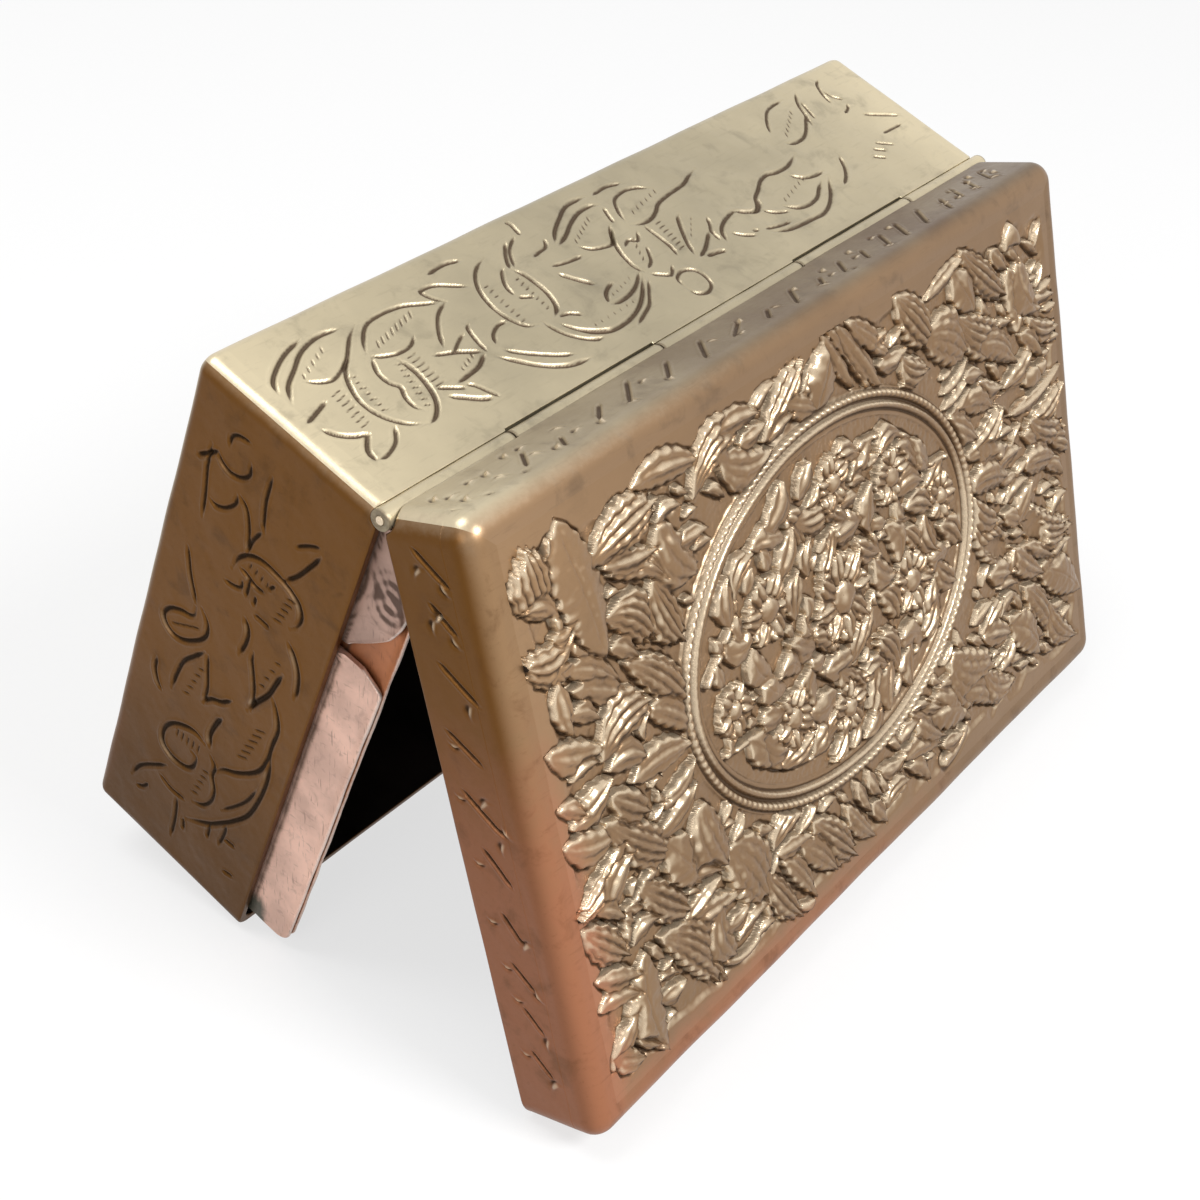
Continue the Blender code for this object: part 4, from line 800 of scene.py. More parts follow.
def scatter_blades(work, relief, random):
    """Short blades that go only where the field's ground still shows, each turned at random."""
    cx, cy = MEDALLION_CENTRE
    a, b = MEDALLION_AXES[0] + 1, MEDALLION_AXES[1] + 1
    for long, wide, tries in ((4.6, 2.0, 500), (3.2, 1.3, 900), (2.2, 1.0, 900)):
        for _ in range(tries):
            along, across = random.uniform(5.4, LENGTH - 5.4), random.uniform(6.2, DEPTH - 5.6)
            lean, bend = hand_turn(random)
            angle = random.uniform(-60, 70)
            if math.hypot((along - cx) / a, (across - cy) / b) < 1:
                continue
            part = work.around(along, across, wide * 0.55)[0]
            near = work.around(along, across, 3)[0]
            if work.covered[part].mean() > 0.1 or work.covered[near].mean() < 0.25:
                continue
            work.leaf((along, across, angle, long, wide, "r"), relief * 0.8, lean, bend)


def medallion_filling(work, relief, random):
    """Sprays of leaves and blossoms that fill the medallion.

    The small leaves between them go only where the ground still shows.
    """
    margin = 2.9
    cx, cy = MEDALLION_CENTRE
    a, b = MEDALLION_AXES[0] - margin, MEDALLION_AXES[1] - margin
    work.covered[:] = 0

    def inside(px, py):
        return math.hypot(px / a, py / b) < 0.93

    for width, *points in SPRAYS:
        path, _ = smooth_path(points, 0.2)
        work.ridge([(cx + px, cy + py) for px, py in points], width, relief * 0.7)
        for index, spot in enumerate(range(4, len(path) - 4, 13)):
            way = path[spot + 3] - path[spot - 3]
            turn = math.degrees(math.atan2(way[1], way[0])) + (38 if index % 2 else -38)
            long = random.uniform(5.2, 7.4)
            px = path[spot][0] + math.cos(math.radians(turn)) * long * 0.45
            py = path[spot][1] + math.sin(math.radians(turn)) * long * 0.45
            if inside(px, py):
                leaf = (cx + px, cy + py, turn, long, long * 0.5, "hsrh"[index % 4])
                work.leaf(leaf, relief, *hand_turn(random))
    for px, py, radius, petals in BLOSSOMS:
        for petal in range(petals):
            turn = 2 * math.pi * petal / petals + px
            wide = 2.5 * radius * math.sin(math.pi / petals) * 0.72
            spot = (cx + px + 0.58 * radius * math.cos(turn), cy + py + 0.58 * radius * math.sin(turn))
            work.leaf((*spot, math.degrees(turn), radius, wide, "h"), relief, 0.3, 0.0)
        work.leaf((cx + px, cy + py, 0, radius * 0.7, radius * 0.66, "o"), relief * 1.25, 0, 0)
    for long, wide in ((5.4, 3.0), (4.2, 2.4), (3.0, 1.7), (2.0, 1.3)):
        for _ in range(420):
            px, py = random.uniform(-a, a), random.uniform(-b, b)
            twirl = random.uniform(-30, 30)
            if not inside(px, py):
                continue
            part = work.around(cx + px, cy + py, wide / 2)[0]
            if work.covered[part].mean() > 0.12:
                continue
            turn = math.degrees(math.atan2(py, px)) + 55 + twirl
            leaf = (cx + px, cy + py, turn, long, wide, "hrsb"[int(random.integers(4))])
            work.leaf(leaf, relief, *hand_turn(random))


def panel_grid(columns, rows):
    """An unworked panel between the walls' borders."""
    along = np.linspace(BORDER, LENGTH - BORDER, columns)
    return Chasing(along, np.linspace(BORDER, DEPTH - BORDER, rows))


def chase_lid_panel(pitch):
    """The lid panel's relief, worked in order.

    First the sunk ground and its matting, then stems, leaves laid one over another, blades
    between them, the medallion's filling and its rings.
    """
    end_margin, back_margin, front_margin = 4.6, 5.3, 5.0
    sizes = bpy.context.scene.silver_sizes
    relief = sizes.leaf_relief / MM
    columns = round((LENGTH - 2 * BORDER) / pitch)
    rows = round((DEPTH - 2 * BORDER) / pitch)
    work = panel_grid(columns + 1, rows + 1)
    x, y = work.grid()
    ragged = 0.9 * value_noise(x, y, 2.2, 5)
    inner = np.minimum.reduce([
        x - end_margin, LENGTH - end_margin - x, y - back_margin, DEPTH - front_margin - y,
    ]) + ragged
    sunk = smooth_step(-0.5, 0.7, inner)
    work.height = -sizes.ground_sink / MM * sunk * (1 + 0.25 * value_noise(x, y, 1.6, 6))
    work.height += 0.045 * sunk * value_noise(x, y, 0.42, 7)
    random = np.random.default_rng(20)
    for width, *points in FIELD_STEMS:
        work.ridge(points, width, relief * 0.6)
    for along, across, angle, length, width, kind in FIELD_LEAVES:
        leaf = (along, across, angle, length * LEAF_STRETCH_SHARE, width, kind)
        work.leaf(leaf, relief, *hand_turn(random))
    scatter_blades(work, relief, random)
    cx, cy = MEDALLION_CENTRE
    ring = np.hypot((x - cx) / (MEDALLION_AXES[0] - 1.2), (y - cy) / (MEDALLION_AXES[1] - 1.2))
    inside = smooth_step(1.01, 0.99, ring)
    ground = -0.30 + 0.05 * value_noise(x, y, 0.4, 8)
    work.height = work.height * (1 - inside) + ground * inside
    work.stain *= 1 - inside
    medallion_filling(work, relief * 0.92, random)
    medallion_ring(work)
    work.height += 0.018 * value_noise(x, y, 0.7, 9) * smooth_step(0, 1.2, inner)
    return work


def engrave(work, cuts, hatches, commas=(), dots=()):
    """Cuts, shading ticks, comma punches and dots on a wall."""
    sizes = bpy.context.scene.silver_sizes
    width, depth = sizes.cut_width / MM, sizes.cut_depth / MM
    for weight, *points in cuts:
        work.line(points, width * (0.6 + 0.4 * weight), depth * (0.5 + 0.5 * weight))
    for a0, h0, a1, h1, length, angle, count in hatches:
        turn = math.radians(angle)
        tick = np.array([math.cos(turn), math.sin(turn)]) * length / 2
        for share in np.linspace(0, 1, count):
            middle = np.array([a0 + (a1 - a0) * share, h0 + (h1 - h0) * share])
            work.line([middle - tick, middle + tick], width * 0.55, depth * 0.5)
    for index, (along, height) in enumerate(commas):
        work.comma(along, height, (-55, 30, -20)[index % 3], 0.75, depth * 0.8)
    for along, height in dots:
        work.comma(along, height, 80, 0.6, depth)


# Walls


def wall_profile(half, pitch):
    """The closed section of a wall.

    It runs from the panel's border over the rounded edge, down to the rim and back inside. With
    the insets and heights come how far the surface faces outwards and upwards, the first and last
    row of the upright part, and the end of the outer skin.
    """
    inset, height, out, up = [], [], [], []

    def run(*values):
        for column, part in zip((inset, height, out, up), np.broadcast_arrays(*np.atleast_1d(*values))):
            column.extend(part)

    radius = half.edge
    top = half.height
    run(np.linspace(BORDER, radius + 0.3, 4), top, 0.0, 1.0)
    turn = np.linspace(0, math.pi / 2, 12)
    run(radius - radius * np.sin(turn), top - radius + radius * np.cos(turn), np.sin(turn), np.cos(turn))
    upright_start = len(inset)
    upper = top - radius
    plain_step, plain_depth, worked_end, lower_end = 0.3, 0.9, 1.2, 0.42
    plain = np.arange(upper - plain_step, upper - plain_depth, -plain_step)
    worked_rows = max(round((upper - plain_depth - worked_end) / pitch), 2)
    worked = np.linspace(upper - plain_depth, worked_end, worked_rows)
    lower = np.linspace(worked_end - pitch, lower_end, 5)
    run(0.0, np.concatenate([plain, worked, lower]), 1.0, 0.0)
    upright_end = len(inset)
    turn = np.linspace(0.2, math.pi / 2, 4)
    rim_inset = RIM_ROUND - RIM_ROUND * np.cos(turn)
    run(rim_inset, HALF_RIM + RIM_ROUND - RIM_ROUND * np.sin(turn), np.cos(turn), -np.sin(turn))
    skin_end = len(inset)
    run(np.array([0.45, 0.72]), HALF_RIM, 0.0, -1.0)
    run(np.array([0.84, WALL]), np.array([0.18, 0.28]), -0.7, -0.7)
    inner_radius = max(radius - WALL, 0.3)
    ceiling = top - PANEL
    run(WALL, np.linspace(1.4, ceiling - inner_radius, 3), -1.0, 0.0)
    turn = np.linspace(0.5, math.pi / 2, 3)
    run(WALL + inner_radius * (1 - np.cos(turn)), ceiling - inner_radius * (1 - np.sin(turn)), -0.7, -0.7)
    run(BORDER, ceiling, 0.0, -1.0)
    arrays = [np.array(values, float) for values in (inset, height, out, up)]
    return (*arrays, (upright_start, upright_end), skin_end)


def notch_height(half, along, depth):
    """Height of the wall's lower end above the rim plane, which the round hinge seat raises near the hinge.

    Beside the tubes that are soldered to its own half the seat closes up to the tube.
    """
    share = np.clip(along / LENGTH, 0, 1)
    owned = np.searchsorted(KNUCKLE_JOINT_SHARES[1:-1], share) % 2 == (0 if half.name == BODY else 1)
    seat = np.where(owned, KNUCKLE_RADIUS + 0.02, GROOVE_RADIUS)
    return np.sqrt(np.clip(seat**2 - (depth - HINGE_INSET) ** 2, HALF_RIM**2, None))


def dent_wall(half, work, seed):
    """Slow dents on a wall; the body's deeper ones stay off its rim and its rounded edge."""
    x, y = work.grid()
    if half.name == BODY:
        zone = smooth_step(1.6, 4, y) * smooth_step(20.2, 17, y)
        work.height += 0.05 * zone * value_noise(x, y, 3.1, seed) + 0.014 * value_noise(x, y, 0.9, seed + 1)
    else:
        work.height += 0.016 * value_noise(x, y, 1.2, seed) + 0.03 * value_noise(x, y, 4.0, seed + 1)


def build_wall(half, wall, pitch, materials, seed, ornament):
    """One wall: its section carried along the side and round half of each corner, then chased.

    The corner circle shrinks with the inset, so the section closes on a square-cornered panel.
    """
    long_side = wall in ("back", "front")
    span = LENGTH if long_side else DEPTH
    inset, height, out, up, upright, skin_end = wall_profile(half, pitch)
    corner = half.corner * np.clip(1 - inset / BORDER, 0, 1) ** 1.2 + 0.02
    centre = inset + corner
    columns = round((span - 2 * half.corner) / pitch)
    arc = np.linspace(0, math.pi / 4, 6)[1:]
    arc = np.append(arc, arc[-1] * 2 - arc[-2])
    angle = np.concatenate([-arc[::-1], np.zeros(columns + 1), arc])
    share = np.concatenate([np.zeros(len(arc)), np.linspace(0, 1, columns + 1), np.ones(len(arc))])
    a = centre[:, None] + share * (span - 2 * centre[:, None]) + corner[:, None] * np.sin(angle)
    b = centre[:, None] - corner[:, None] * np.cos(angle)
    h = np.repeat(height[:, None], len(angle), axis=1)

    def seat(a, b):
        along, depth = (a, b) if long_side else (b, a)
        if wall == "front":
            depth = DEPTH - b
        if wall == "right":
            along = LENGTH - b
        return along, depth

    along, depth = seat(a, b)
    fade = np.clip((SEAT_FADE - h) / (SEAT_FADE - HALF_RIM), 0, 1)
    h = h + (notch_height(half, along, depth) - HALF_RIM) * fade

    straight = slice(len(arc), len(arc) + columns + 1)
    axis = a[upright[0], straight]
    levels = h[upright[0]:upright[1], len(arc) + columns // 2]
    work = Chasing(axis, levels[::-1])
    dent_wall(half, work, seed)
    engrave(work, *ornament)
    # Painted highlight and painted shade: wall slopes rising along (0.5, 0.5) are brightened, and those
    # falling along it are darkened.
    worked = (work.height, *work.marks(pitch, (0.5, 0.5), 0.5 if half.name == BODY else 0.3))
    shift, hollow, proud_and_highlight = np.zeros((3, *a.shape))
    for target, values in zip((shift, hollow, proud_and_highlight), worked):
        target[slice(*upright), straight] = values.T[::-1]
    skin = np.zeros(len(inset))
    skin[:skin_end] = 1
    skin = skin * np.where(height < 0.5, 0.4, 1.0)
    shift += hand_wobble(half, along, depth, h) * skin[:, None]
    out_a = out[:, None] * np.sin(angle) * shift
    out_b = -out[:, None] * np.cos(angle) * shift
    along, depth = seat(a + out_a, b + out_b)
    points = half.place(along, depth, h + up[:, None] * shift)

    normals = np.zeros_like(points)
    normals[:skin_end] = grid_normals(points[:skin_end])
    outward = half.place(*seat(np.array(span / 2), np.array(-1.0)), np.array(10.0))
    inward = half.place(*seat(np.array(span / 2), np.array(0.0)), np.array(10.0))
    middle = (upright[0] + upright[1]) // 2
    if (normals[middle, len(angle) // 2] @ (outward - inward)) < 0:
        normals = -normals
    keep = slice(1, len(angle) - 1)
    points, normals = points[:, keep], normals[:, keep]
    along, depth, h = along[:, keep], depth[:, keep], h[:, keep]
    hollow, proud_and_highlight = hollow[:, keep], proud_and_highlight[:, keep]

    round_edge = np.sin(2 * np.arctan2(out, np.maximum(up, 0) + 1e-9)) * (up > 0)
    lower_edge = (height < 0.6) & (np.arange(len(height)) < skin_end)
    bent = np.abs(angle[keep])
    corner_edge = np.cos(np.clip(bent * 2 - math.pi / 2, -math.pi / 2, 0)) * (bent > 0)
    rubbed = np.maximum(np.maximum(round_edge, lower_edge * 0.5)[:, None], corner_edge * (out > 0.5)[:, None])
    # Rubbing is strongest near the hinge's left end, where the brighter edges are partly a painted highlight.
    far_rub = 0.22 if half.name == BODY else 0.08
    rubbed = rubbed * (far_rub + (1 - far_rub) * np.exp(-np.hypot(np.maximum(depth, 0) / 5, along / 45)))
    rows_count, columns_count = points.shape[:2]
    faces = grid_faces(rows_count, columns_count, rows_join=True)
    face_row = np.repeat(np.arange(rows_count), columns_count - 1)
    kinds = np.where(face_row < skin_end + 3, 0, 1)
    plain = face_row >= skin_end - 1
    level = np.repeat(np.maximum(up, 0)[:, None], columns_count, axis=1)
    # The marks hold patina, wear and toning, and also painted light: a broad painted pool of light, and
    # painted highlight and painted shade on slopes.
    marks = {
        "hollow": hollow, "proud_and_highlight": proud_and_highlight, "rubbed": rubbed, "level": level,
        "tone": low_edge_tone_and_reflection(half, along, depth, h), "painted_light_and_swirl": painted_light_and_swirl(half, along, depth, level),
    }
    slot = "worn_silver" if wall == "back" else "toned_silver"
    piece = put_piece(
        half.name + "_" + wall + "_chased_wall", half.name, points, faces, materials, marks,
        kinds, normals, plain, end_caps(rows_count, columns_count),
    )
    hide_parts(half.name + "_" + wall + "_wall")


def build_slab(half, name, work, part, materials, slot, hollow, proud_and_highlight):
    """A tile of a panel: its chased face on top, four plain sides and a flat underside one sheet below."""
    x, y = work.grid()
    whole = half.place(x, y, half.height + work.height + hand_wobble(half, x, y, half.height))
    # As on the walls, the marks also hold painted light: a broad painted pool of light, and on the lid's
    # panel painted highlight and painted shade on the relief's slopes.
    marks = {
        "hollow": hollow, "proud_and_highlight": proud_and_highlight, "rubbed": np.zeros_like(x), "level": np.ones_like(x),
        "tone": low_edge_tone_and_reflection(half, x, y, half.height), "painted_light_and_swirl": painted_light_and_swirl(half, x, y, 1.0),
    }
    x, y = x[part], y[part]
    top = whole[part]
    normals = grid_normals(whole)[part]
    spot, above = half.place(np.ones(2), np.ones(2), np.array([1.0, 2.0]))
    if normals[0, 0] @ (above - spot) < 0:
        normals = -normals
    rows, columns = x.shape
    order = np.arange(rows * columns).reshape(rows, columns)
    rim = np.concatenate([order[:-1, 0], order[-1, :-1], order[:0:-1, -1], order[0, :0:-1]])
    flat = half.place(x.ravel()[rim], y.ravel()[rim], np.full(len(rim), half.height - PANEL))
    points = np.concatenate([top.reshape(-1, 3), flat])
    under = rows * columns + np.arange(len(rim))
    sides = np.stack([rim, np.roll(rim, -1), np.roll(under, -1), under], axis=-1)
    faces = grid_faces(rows, columns)
    if runs_along(faces[0], sides[0]):
        sides = sides[:, ::-1]
    kinds = np.concatenate([np.zeros(len(faces)), np.ones(len(sides))])
    filled = {key: np.concatenate([value[part].ravel(), np.zeros(len(rim))]) for key, value in marks.items()}
    every = np.concatenate([normals.reshape(-1, 3), np.zeros((len(rim), 3))])
    cap = under[::-1] if runs_along(sides[0], under) else under
    return put_piece(
        name, half.name, points, np.concatenate([faces, sides]), materials, filled,
        kinds, every, kinds > 0, [cap],
    )


def runs_along(face, edge):
    """Whether a face runs through an edge's first two points in the same direction."""
    loop = [*face, face[0]]
    return (edge[0], edge[1]) in zip(loop[:-1], loop[1:])


def painted_light_and_swirl(half, along, depth, level):
    """A painted pool of light: how pale the silver is painted in broad patches, palest at the hinge's left
    end.

    Each patch fades by an exponential of the distance to its middle. The level is 1 on what faces
    as the panel does and 0 on upright walls; the body's end walls are painted darker downwards.
    """
    if half.name == LID:
        near = np.exp(-((np.hypot(along, depth * 1.6) / 23) ** 1.5))
        border = smooth_step(12, 3, along) * smooth_step(2, 8, depth)
        return np.clip(0.06 + near * 0.94 + 0.6 * border, 0, 1)
    near = np.exp(-np.hypot(along / 22, depth / 13))
    far = 0.9 * np.exp(-np.hypot((LENGTH - along) / 24, depth / 12))
    end = ((along < 2.5) | (along > LENGTH - 2.5)) * (1 - level)
    plain = 0.1 + near * 0.9 + far
    return np.clip(plain * (1 - end) + (1 - 0.9 * smooth_step(28, 56, depth)) * end, 0, 1)


def low_edge_tone_and_reflection(half, along, depth, height):
    """Orange at the low edges: partly toning, partly a painted warm reflection from below.

    On the lid it covers the left border, the front edge and the left end, and on the body the
    edge of the underside at its left end.
    """
    if half.name == LID:
        left = smooth_step(8.5, 2.5, along) * smooth_step(5, 40, depth) * 0.85
        front = smooth_step(DEPTH - 7, DEPTH - 1.5, depth) * smooth_step(90, 25, along) * 0.7
        end = (along < 3) * (0.1 + 0.85 * smooth_step(6, 50, depth))
        return np.clip(np.maximum(np.maximum(left, front), end), 0, 1)
    red = np.exp(-(half.height - height) / 1.6) * smooth_step(12, 40, depth) * 0.5
    return np.clip(red * smooth_step(7.5, 1.5, along), 0, 1)


# Finishes


class Wire:
    """A shader socket in a sum: the operators add Math nodes."""

    def __init__(self, nodes, socket):
        self.nodes = nodes
        self.socket = socket

    def join(self, operation, first, second):
        """A Math node on two sockets or numbers."""
        return self.nodes.node("ShaderNodeMath", {"operation": operation}, {0: first, 1: second})

    def __add__(self, other):
        return self.join("ADD", self, other)

    def __radd__(self, other):
        return self.join("ADD", other, self)

    def __sub__(self, other):
        return self.join("SUBTRACT", self, other)

    def __rsub__(self, other):
        return self.join("SUBTRACT", other, self)

    def __mul__(self, other):
        return self.join("MULTIPLY", self, other)

    def __rmul__(self, other):
        return self.join("MULTIPLY", other, self)


class Nodes:
    """A node tree, emptied first."""

    def __init__(self, owner):
        owner.use_nodes = True
        self.tree = owner.node_tree
        self.tree.nodes.clear()

    def node(self, kind, settings=None, values=None, output=0):
        """A node of a kind: its settings first, then a value or a link for each named socket."""
        made = self.tree.nodes.new(kind)
        for key, value in (settings or {}).items():
            setattr(made, key, value)
        for key, value in (values or {}).items():
            if isinstance(value, Wire):
                self.tree.links.new(value.socket, made.inputs[key])
            else:
                made.inputs[key].default_value = value
        return Wire(self, made.outputs[output]) if len(made.outputs) else made

    def seen(self):
        """1 on rays that come from the camera, off something glossy or through something clear."""
        camera, glossy, through = [
            self.node("ShaderNodeLightPath", output="Is " + word + " Ray")
            for word in ("Camera", "Glossy", "Transmission")
        ]
        return camera.join("MAXIMUM", camera.join("MAXIMUM", camera, glossy), through)


class Finish(Nodes):
    """One material and its node tree."""

    def __init__(self, name):
        self.material = bpy.data.materials.new(name)
        super().__init__(self.material)

    def mark(self, name):
        """A value that the piece's points carry."""
        settings = {"attribute_type": "GEOMETRY", "attribute_name": name}
        return self.node("ShaderNodeAttribute", settings, output="Fac")

    def limit(self, value, low, high):
        """A value mapped from low..high to 0..1 and held there."""
        return self.node(
            "ShaderNodeMapRange", {"clamp": True, "interpolation_type": "SMOOTHSTEP"},
            {"Value": value, "From Min": low, "From Max": high},
        )

    def blend(self, share, first, second):
        """Two colours mixed by a share."""
        return self.node(
            "ShaderNodeMix", {"data_type": "RGBA", "clamp_factor": True},
            {0: share, 6: colour4(first), 7: colour4(second)}, output=2,
        )

    def place(self, stretch=(1, 1, 1)):
        """Object coordinates, stretched along each axis."""
        coordinates = self.node("ShaderNodeTexCoord", output="Object")
        return self.node("ShaderNodeVectorMath", {"operation": "MULTIPLY"}, {0: coordinates, 1: stretch})

    def noise(self, size, detail=3, rough=0.55, stretch=(1, 1, 1), distort=0.0):
        """Noise whose patches are about a size in millimetres."""
        return self.node(
            "ShaderNodeTexNoise", {"noise_dimensions": "3D"},
            {"Vector": self.place(stretch), "Scale": 1 / (size * MM), "Detail": detail,
             "Roughness": rough, "Distortion": distort},
        )

    def metal(self, colour, roughness, metallic, bump, strength, distance, specular=0.5):
        """The surface shader, bumped."""
        bumped = self.node(
            "ShaderNodeBump", {}, {"Strength": strength, "Distance": distance * MM, "Height": bump},
        )
        return self.node(
            "ShaderNodeBsdfPrincipled", {},
            {"Base Color": colour, "Roughness": roughness, "Metallic": metallic, "Normal": bumped,
             "Specular IOR Level": specular},
        )

    def close(self, shader):
        """The material with its output."""
        self.node("ShaderNodeOutputMaterial", {}, {"Surface": shader})
        return self.material


def colour4(value):
    """A colour with its alpha, or a link as it is."""
    if isinstance(value, Wire):
        return value
    return (*value, 1.0)


def shade(colour, factor):
    """A colour made lighter or darker."""
    return tuple(min(part * factor, 1.0) for part in colour)


def silver_finish(name, base, face, stain=0.35, roughness=0.34, metallic=0.55, shine=0.72, specular=0.5,
                  hollow_shade=1.0):
    """Worn silver with painted light: patchy base, dark patina in hollows, edges and high spots worn bright,
    toning and fine scratches.

    The base colours, dark and pale, belong to upright walls, and the face colours to what faces as
    the panel does. A painted pool of light picks the pale copies; slopes take painted highlight and
    painted shade, and the orange toning is partly a painted warm reflection from below.
    """
    colours = bpy.context.scene.silver_colours
    ember = colours.ember
    finish = Finish(name)
    hollow, proud_and_highlight, rubbed, tone, light = [
        finish.mark(word) for word in ("hollow", "proud_and_highlight", "rubbed", "tone", "painted_light_and_swirl")
    ]
    level = finish.limit(finish.mark("level"), 0.25, 1.0)
    broad = finish.noise(11, detail=4)
    patch = finish.noise(3.2, detail=5, rough=0.62, distort=0.4)
    grain = finish.noise(0.5, detail=4, rough=0.6)
    streak = finish.noise(0.5, detail=3, rough=0.7, stretch=(0.12, 1, 1))
    scratch = finish.noise(0.09, detail=2, rough=0.5, stretch=(0.05, 1, 1))
    # Painted light: the pale copy of each colour where the painted pool of light falls, the dark copy
    # elsewhere.
    share = light + (broad - 0.5) * 0.7
    dark, pale = [finish.blend(level, upright, facing) for upright, facing in zip(base, face)]
    colour = finish.blend(share, dark, pale)
    # Orange at the low edges: toning, and partly a painted warm reflection from below.
    ember_share = finish.limit(tone + (patch - 0.5) * 0.5, 0.08, 0.95)
    colour = finish.blend(ember_share, colour, finish.blend(level, shade(ember, 0.62), ember))
    colour = finish.blend(finish.limit(patch, 0.50, 0.74) * stain, colour, shade(base[0], 0.6))
    colour = finish.blend(finish.limit(streak, 0.55, 0.75) * 0.16, colour, shade(base[0], 0.7))
    # Dark patina in hollows and cuts, together with the painted shade on slopes that face away from the
    # light.
    tarnish_and_shade = finish.limit(hollow + (grain - 0.5) * 0.35 + (patch - 0.5) * 0.25, 0.14, 0.95)
    colour = finish.blend(tarnish_and_shade * 0.93, colour, shade(colours.hollow, hollow_shade))
    # Bright wear on edges and high spots, together with the painted highlight on slopes that face the light.
    polish_and_highlight = finish.limit(proud_and_highlight + rubbed * 0.6 + (grain - 0.5) * 0.2 + (patch - 0.5) * 0.4, 0.18, 1.05)
    colour = finish.blend(polish_and_highlight * shine, colour, colours.polish_and_highlight_colour)
    surface = roughness + (grain - 0.5) * 0.14 + (streak - 0.5) * 0.10 + tarnish_and_shade * 0.18 - polish_and_highlight * 0.08
    bump = grain * 0.5 + scratch * 0.3 + patch * 0.6
    return finish.close(finish.metal(colour, surface, metallic, bump, 0.3, 0.05, specular))


def painted_shade_inside_finish():
    """The inside, painted nearly black for the shade that fills it, over dark oxidised metal with duller
    patches and scratches.
    """
    colours = bpy.context.scene.silver_colours
    finish = Finish("painted_shade_inside")
    broad = finish.noise(9, detail=4)
    grain = finish.noise(0.6, detail=5, rough=0.65)
    scratch = finish.noise(0.12, detail=2, stretch=(1, 0.06, 0.06))
    darker_shade, paler_shade = shade(colours.inside, 0.6), shade(colours.inside, 1.5)
    scuff = (0.11, 0.075, 0.05)
    colour = finish.blend(finish.limit(broad, 0.35, 0.7), darker_shade, paler_shade)
    colour = finish.blend(finish.limit(grain, 0.60, 0.80) * 0.3, colour, scuff)
    surface = 0.52 + (grain - 0.5) * 0.3 + (broad - 0.5) * 0.2
    return finish.close(finish.metal(colour, surface, 0.6, grain * 0.6 + scratch * 0.4, 0.3, 0.06))


def bare_finish(name, base, crud=0.0, swirl=0.0):
    """Bare sheet that was soldered in: blotched, scored with dark scratches and dirty at its foot.

    Crud darkens it where the tone mark stands, and a swirled stain where the swirl mark does; on silver that
    same mark is a painted pool of light.
    """
    foot_dirt, crust = (0.10, 0.055, 0.035), (0.055, 0.058, 0.040)
    swirl_stain, bright_edge = (0.075, 0.035, 0.02), (0.86, 0.74, 0.66)
    finish = Finish(name)
    foot = finish.mark("hollow")
    rubbed = finish.mark("rubbed")
    tone = finish.mark("tone")
    broad = finish.noise(6, detail=4)
    patch = finish.noise(1.7, detail=5, rough=0.65, distort=0.6)
    grain = finish.noise(0.35, detail=4, rough=0.65)
    score = finish.noise(0.16, detail=2, rough=0.4, stretch=(1, 0.9, 0.1))
    cross = finish.noise(0.2, detail=2, rough=0.4, stretch=(1, 0.14, 0.5))
    colour = finish.blend(finish.limit(broad, 0.36, 0.66), shade(base, 0.82), shade(base, 1.12))
    colour = finish.blend(finish.limit(patch, 0.52, 0.72) * 0.5, colour, shade(base, 0.55))
    colour = finish.blend(finish.limit(score, 0.62, 0.72) * 0.5, colour, shade(base, 0.33))
    colour = finish.blend(finish.limit(cross, 0.64, 0.74) * 0.35, colour, shade(base, 0.42))
    colour = finish.blend(finish.limit(foot + (patch - 0.5) * 0.7, 0.25, 0.8) * 0.9, colour, foot_dirt)
    colour = finish.blend(finish.limit(tone + (patch - 0.5) * 0.6, 0.3, 0.8) * crud, colour, crust)
    ring = finish.limit(finish.mark("painted_light_and_swirl") + (patch - 0.5) * 0.7, 0.10, 0.55) * swirl
    colour = finish.blend(ring, colour, swirl_stain)
    colour = finish.blend(finish.limit(rubbed + (grain - 0.5) * 0.6, 0.4, 1.0) * 0.6, colour, bright_edge)
    surface = 0.42 + (grain - 0.5) * 0.25 + foot * 0.15
    bump = grain * 0.5 + score * 0.5 + patch * 0.8
    return finish.close(finish.metal(colour, surface, 0.55, bump, 0.45, 0.06))


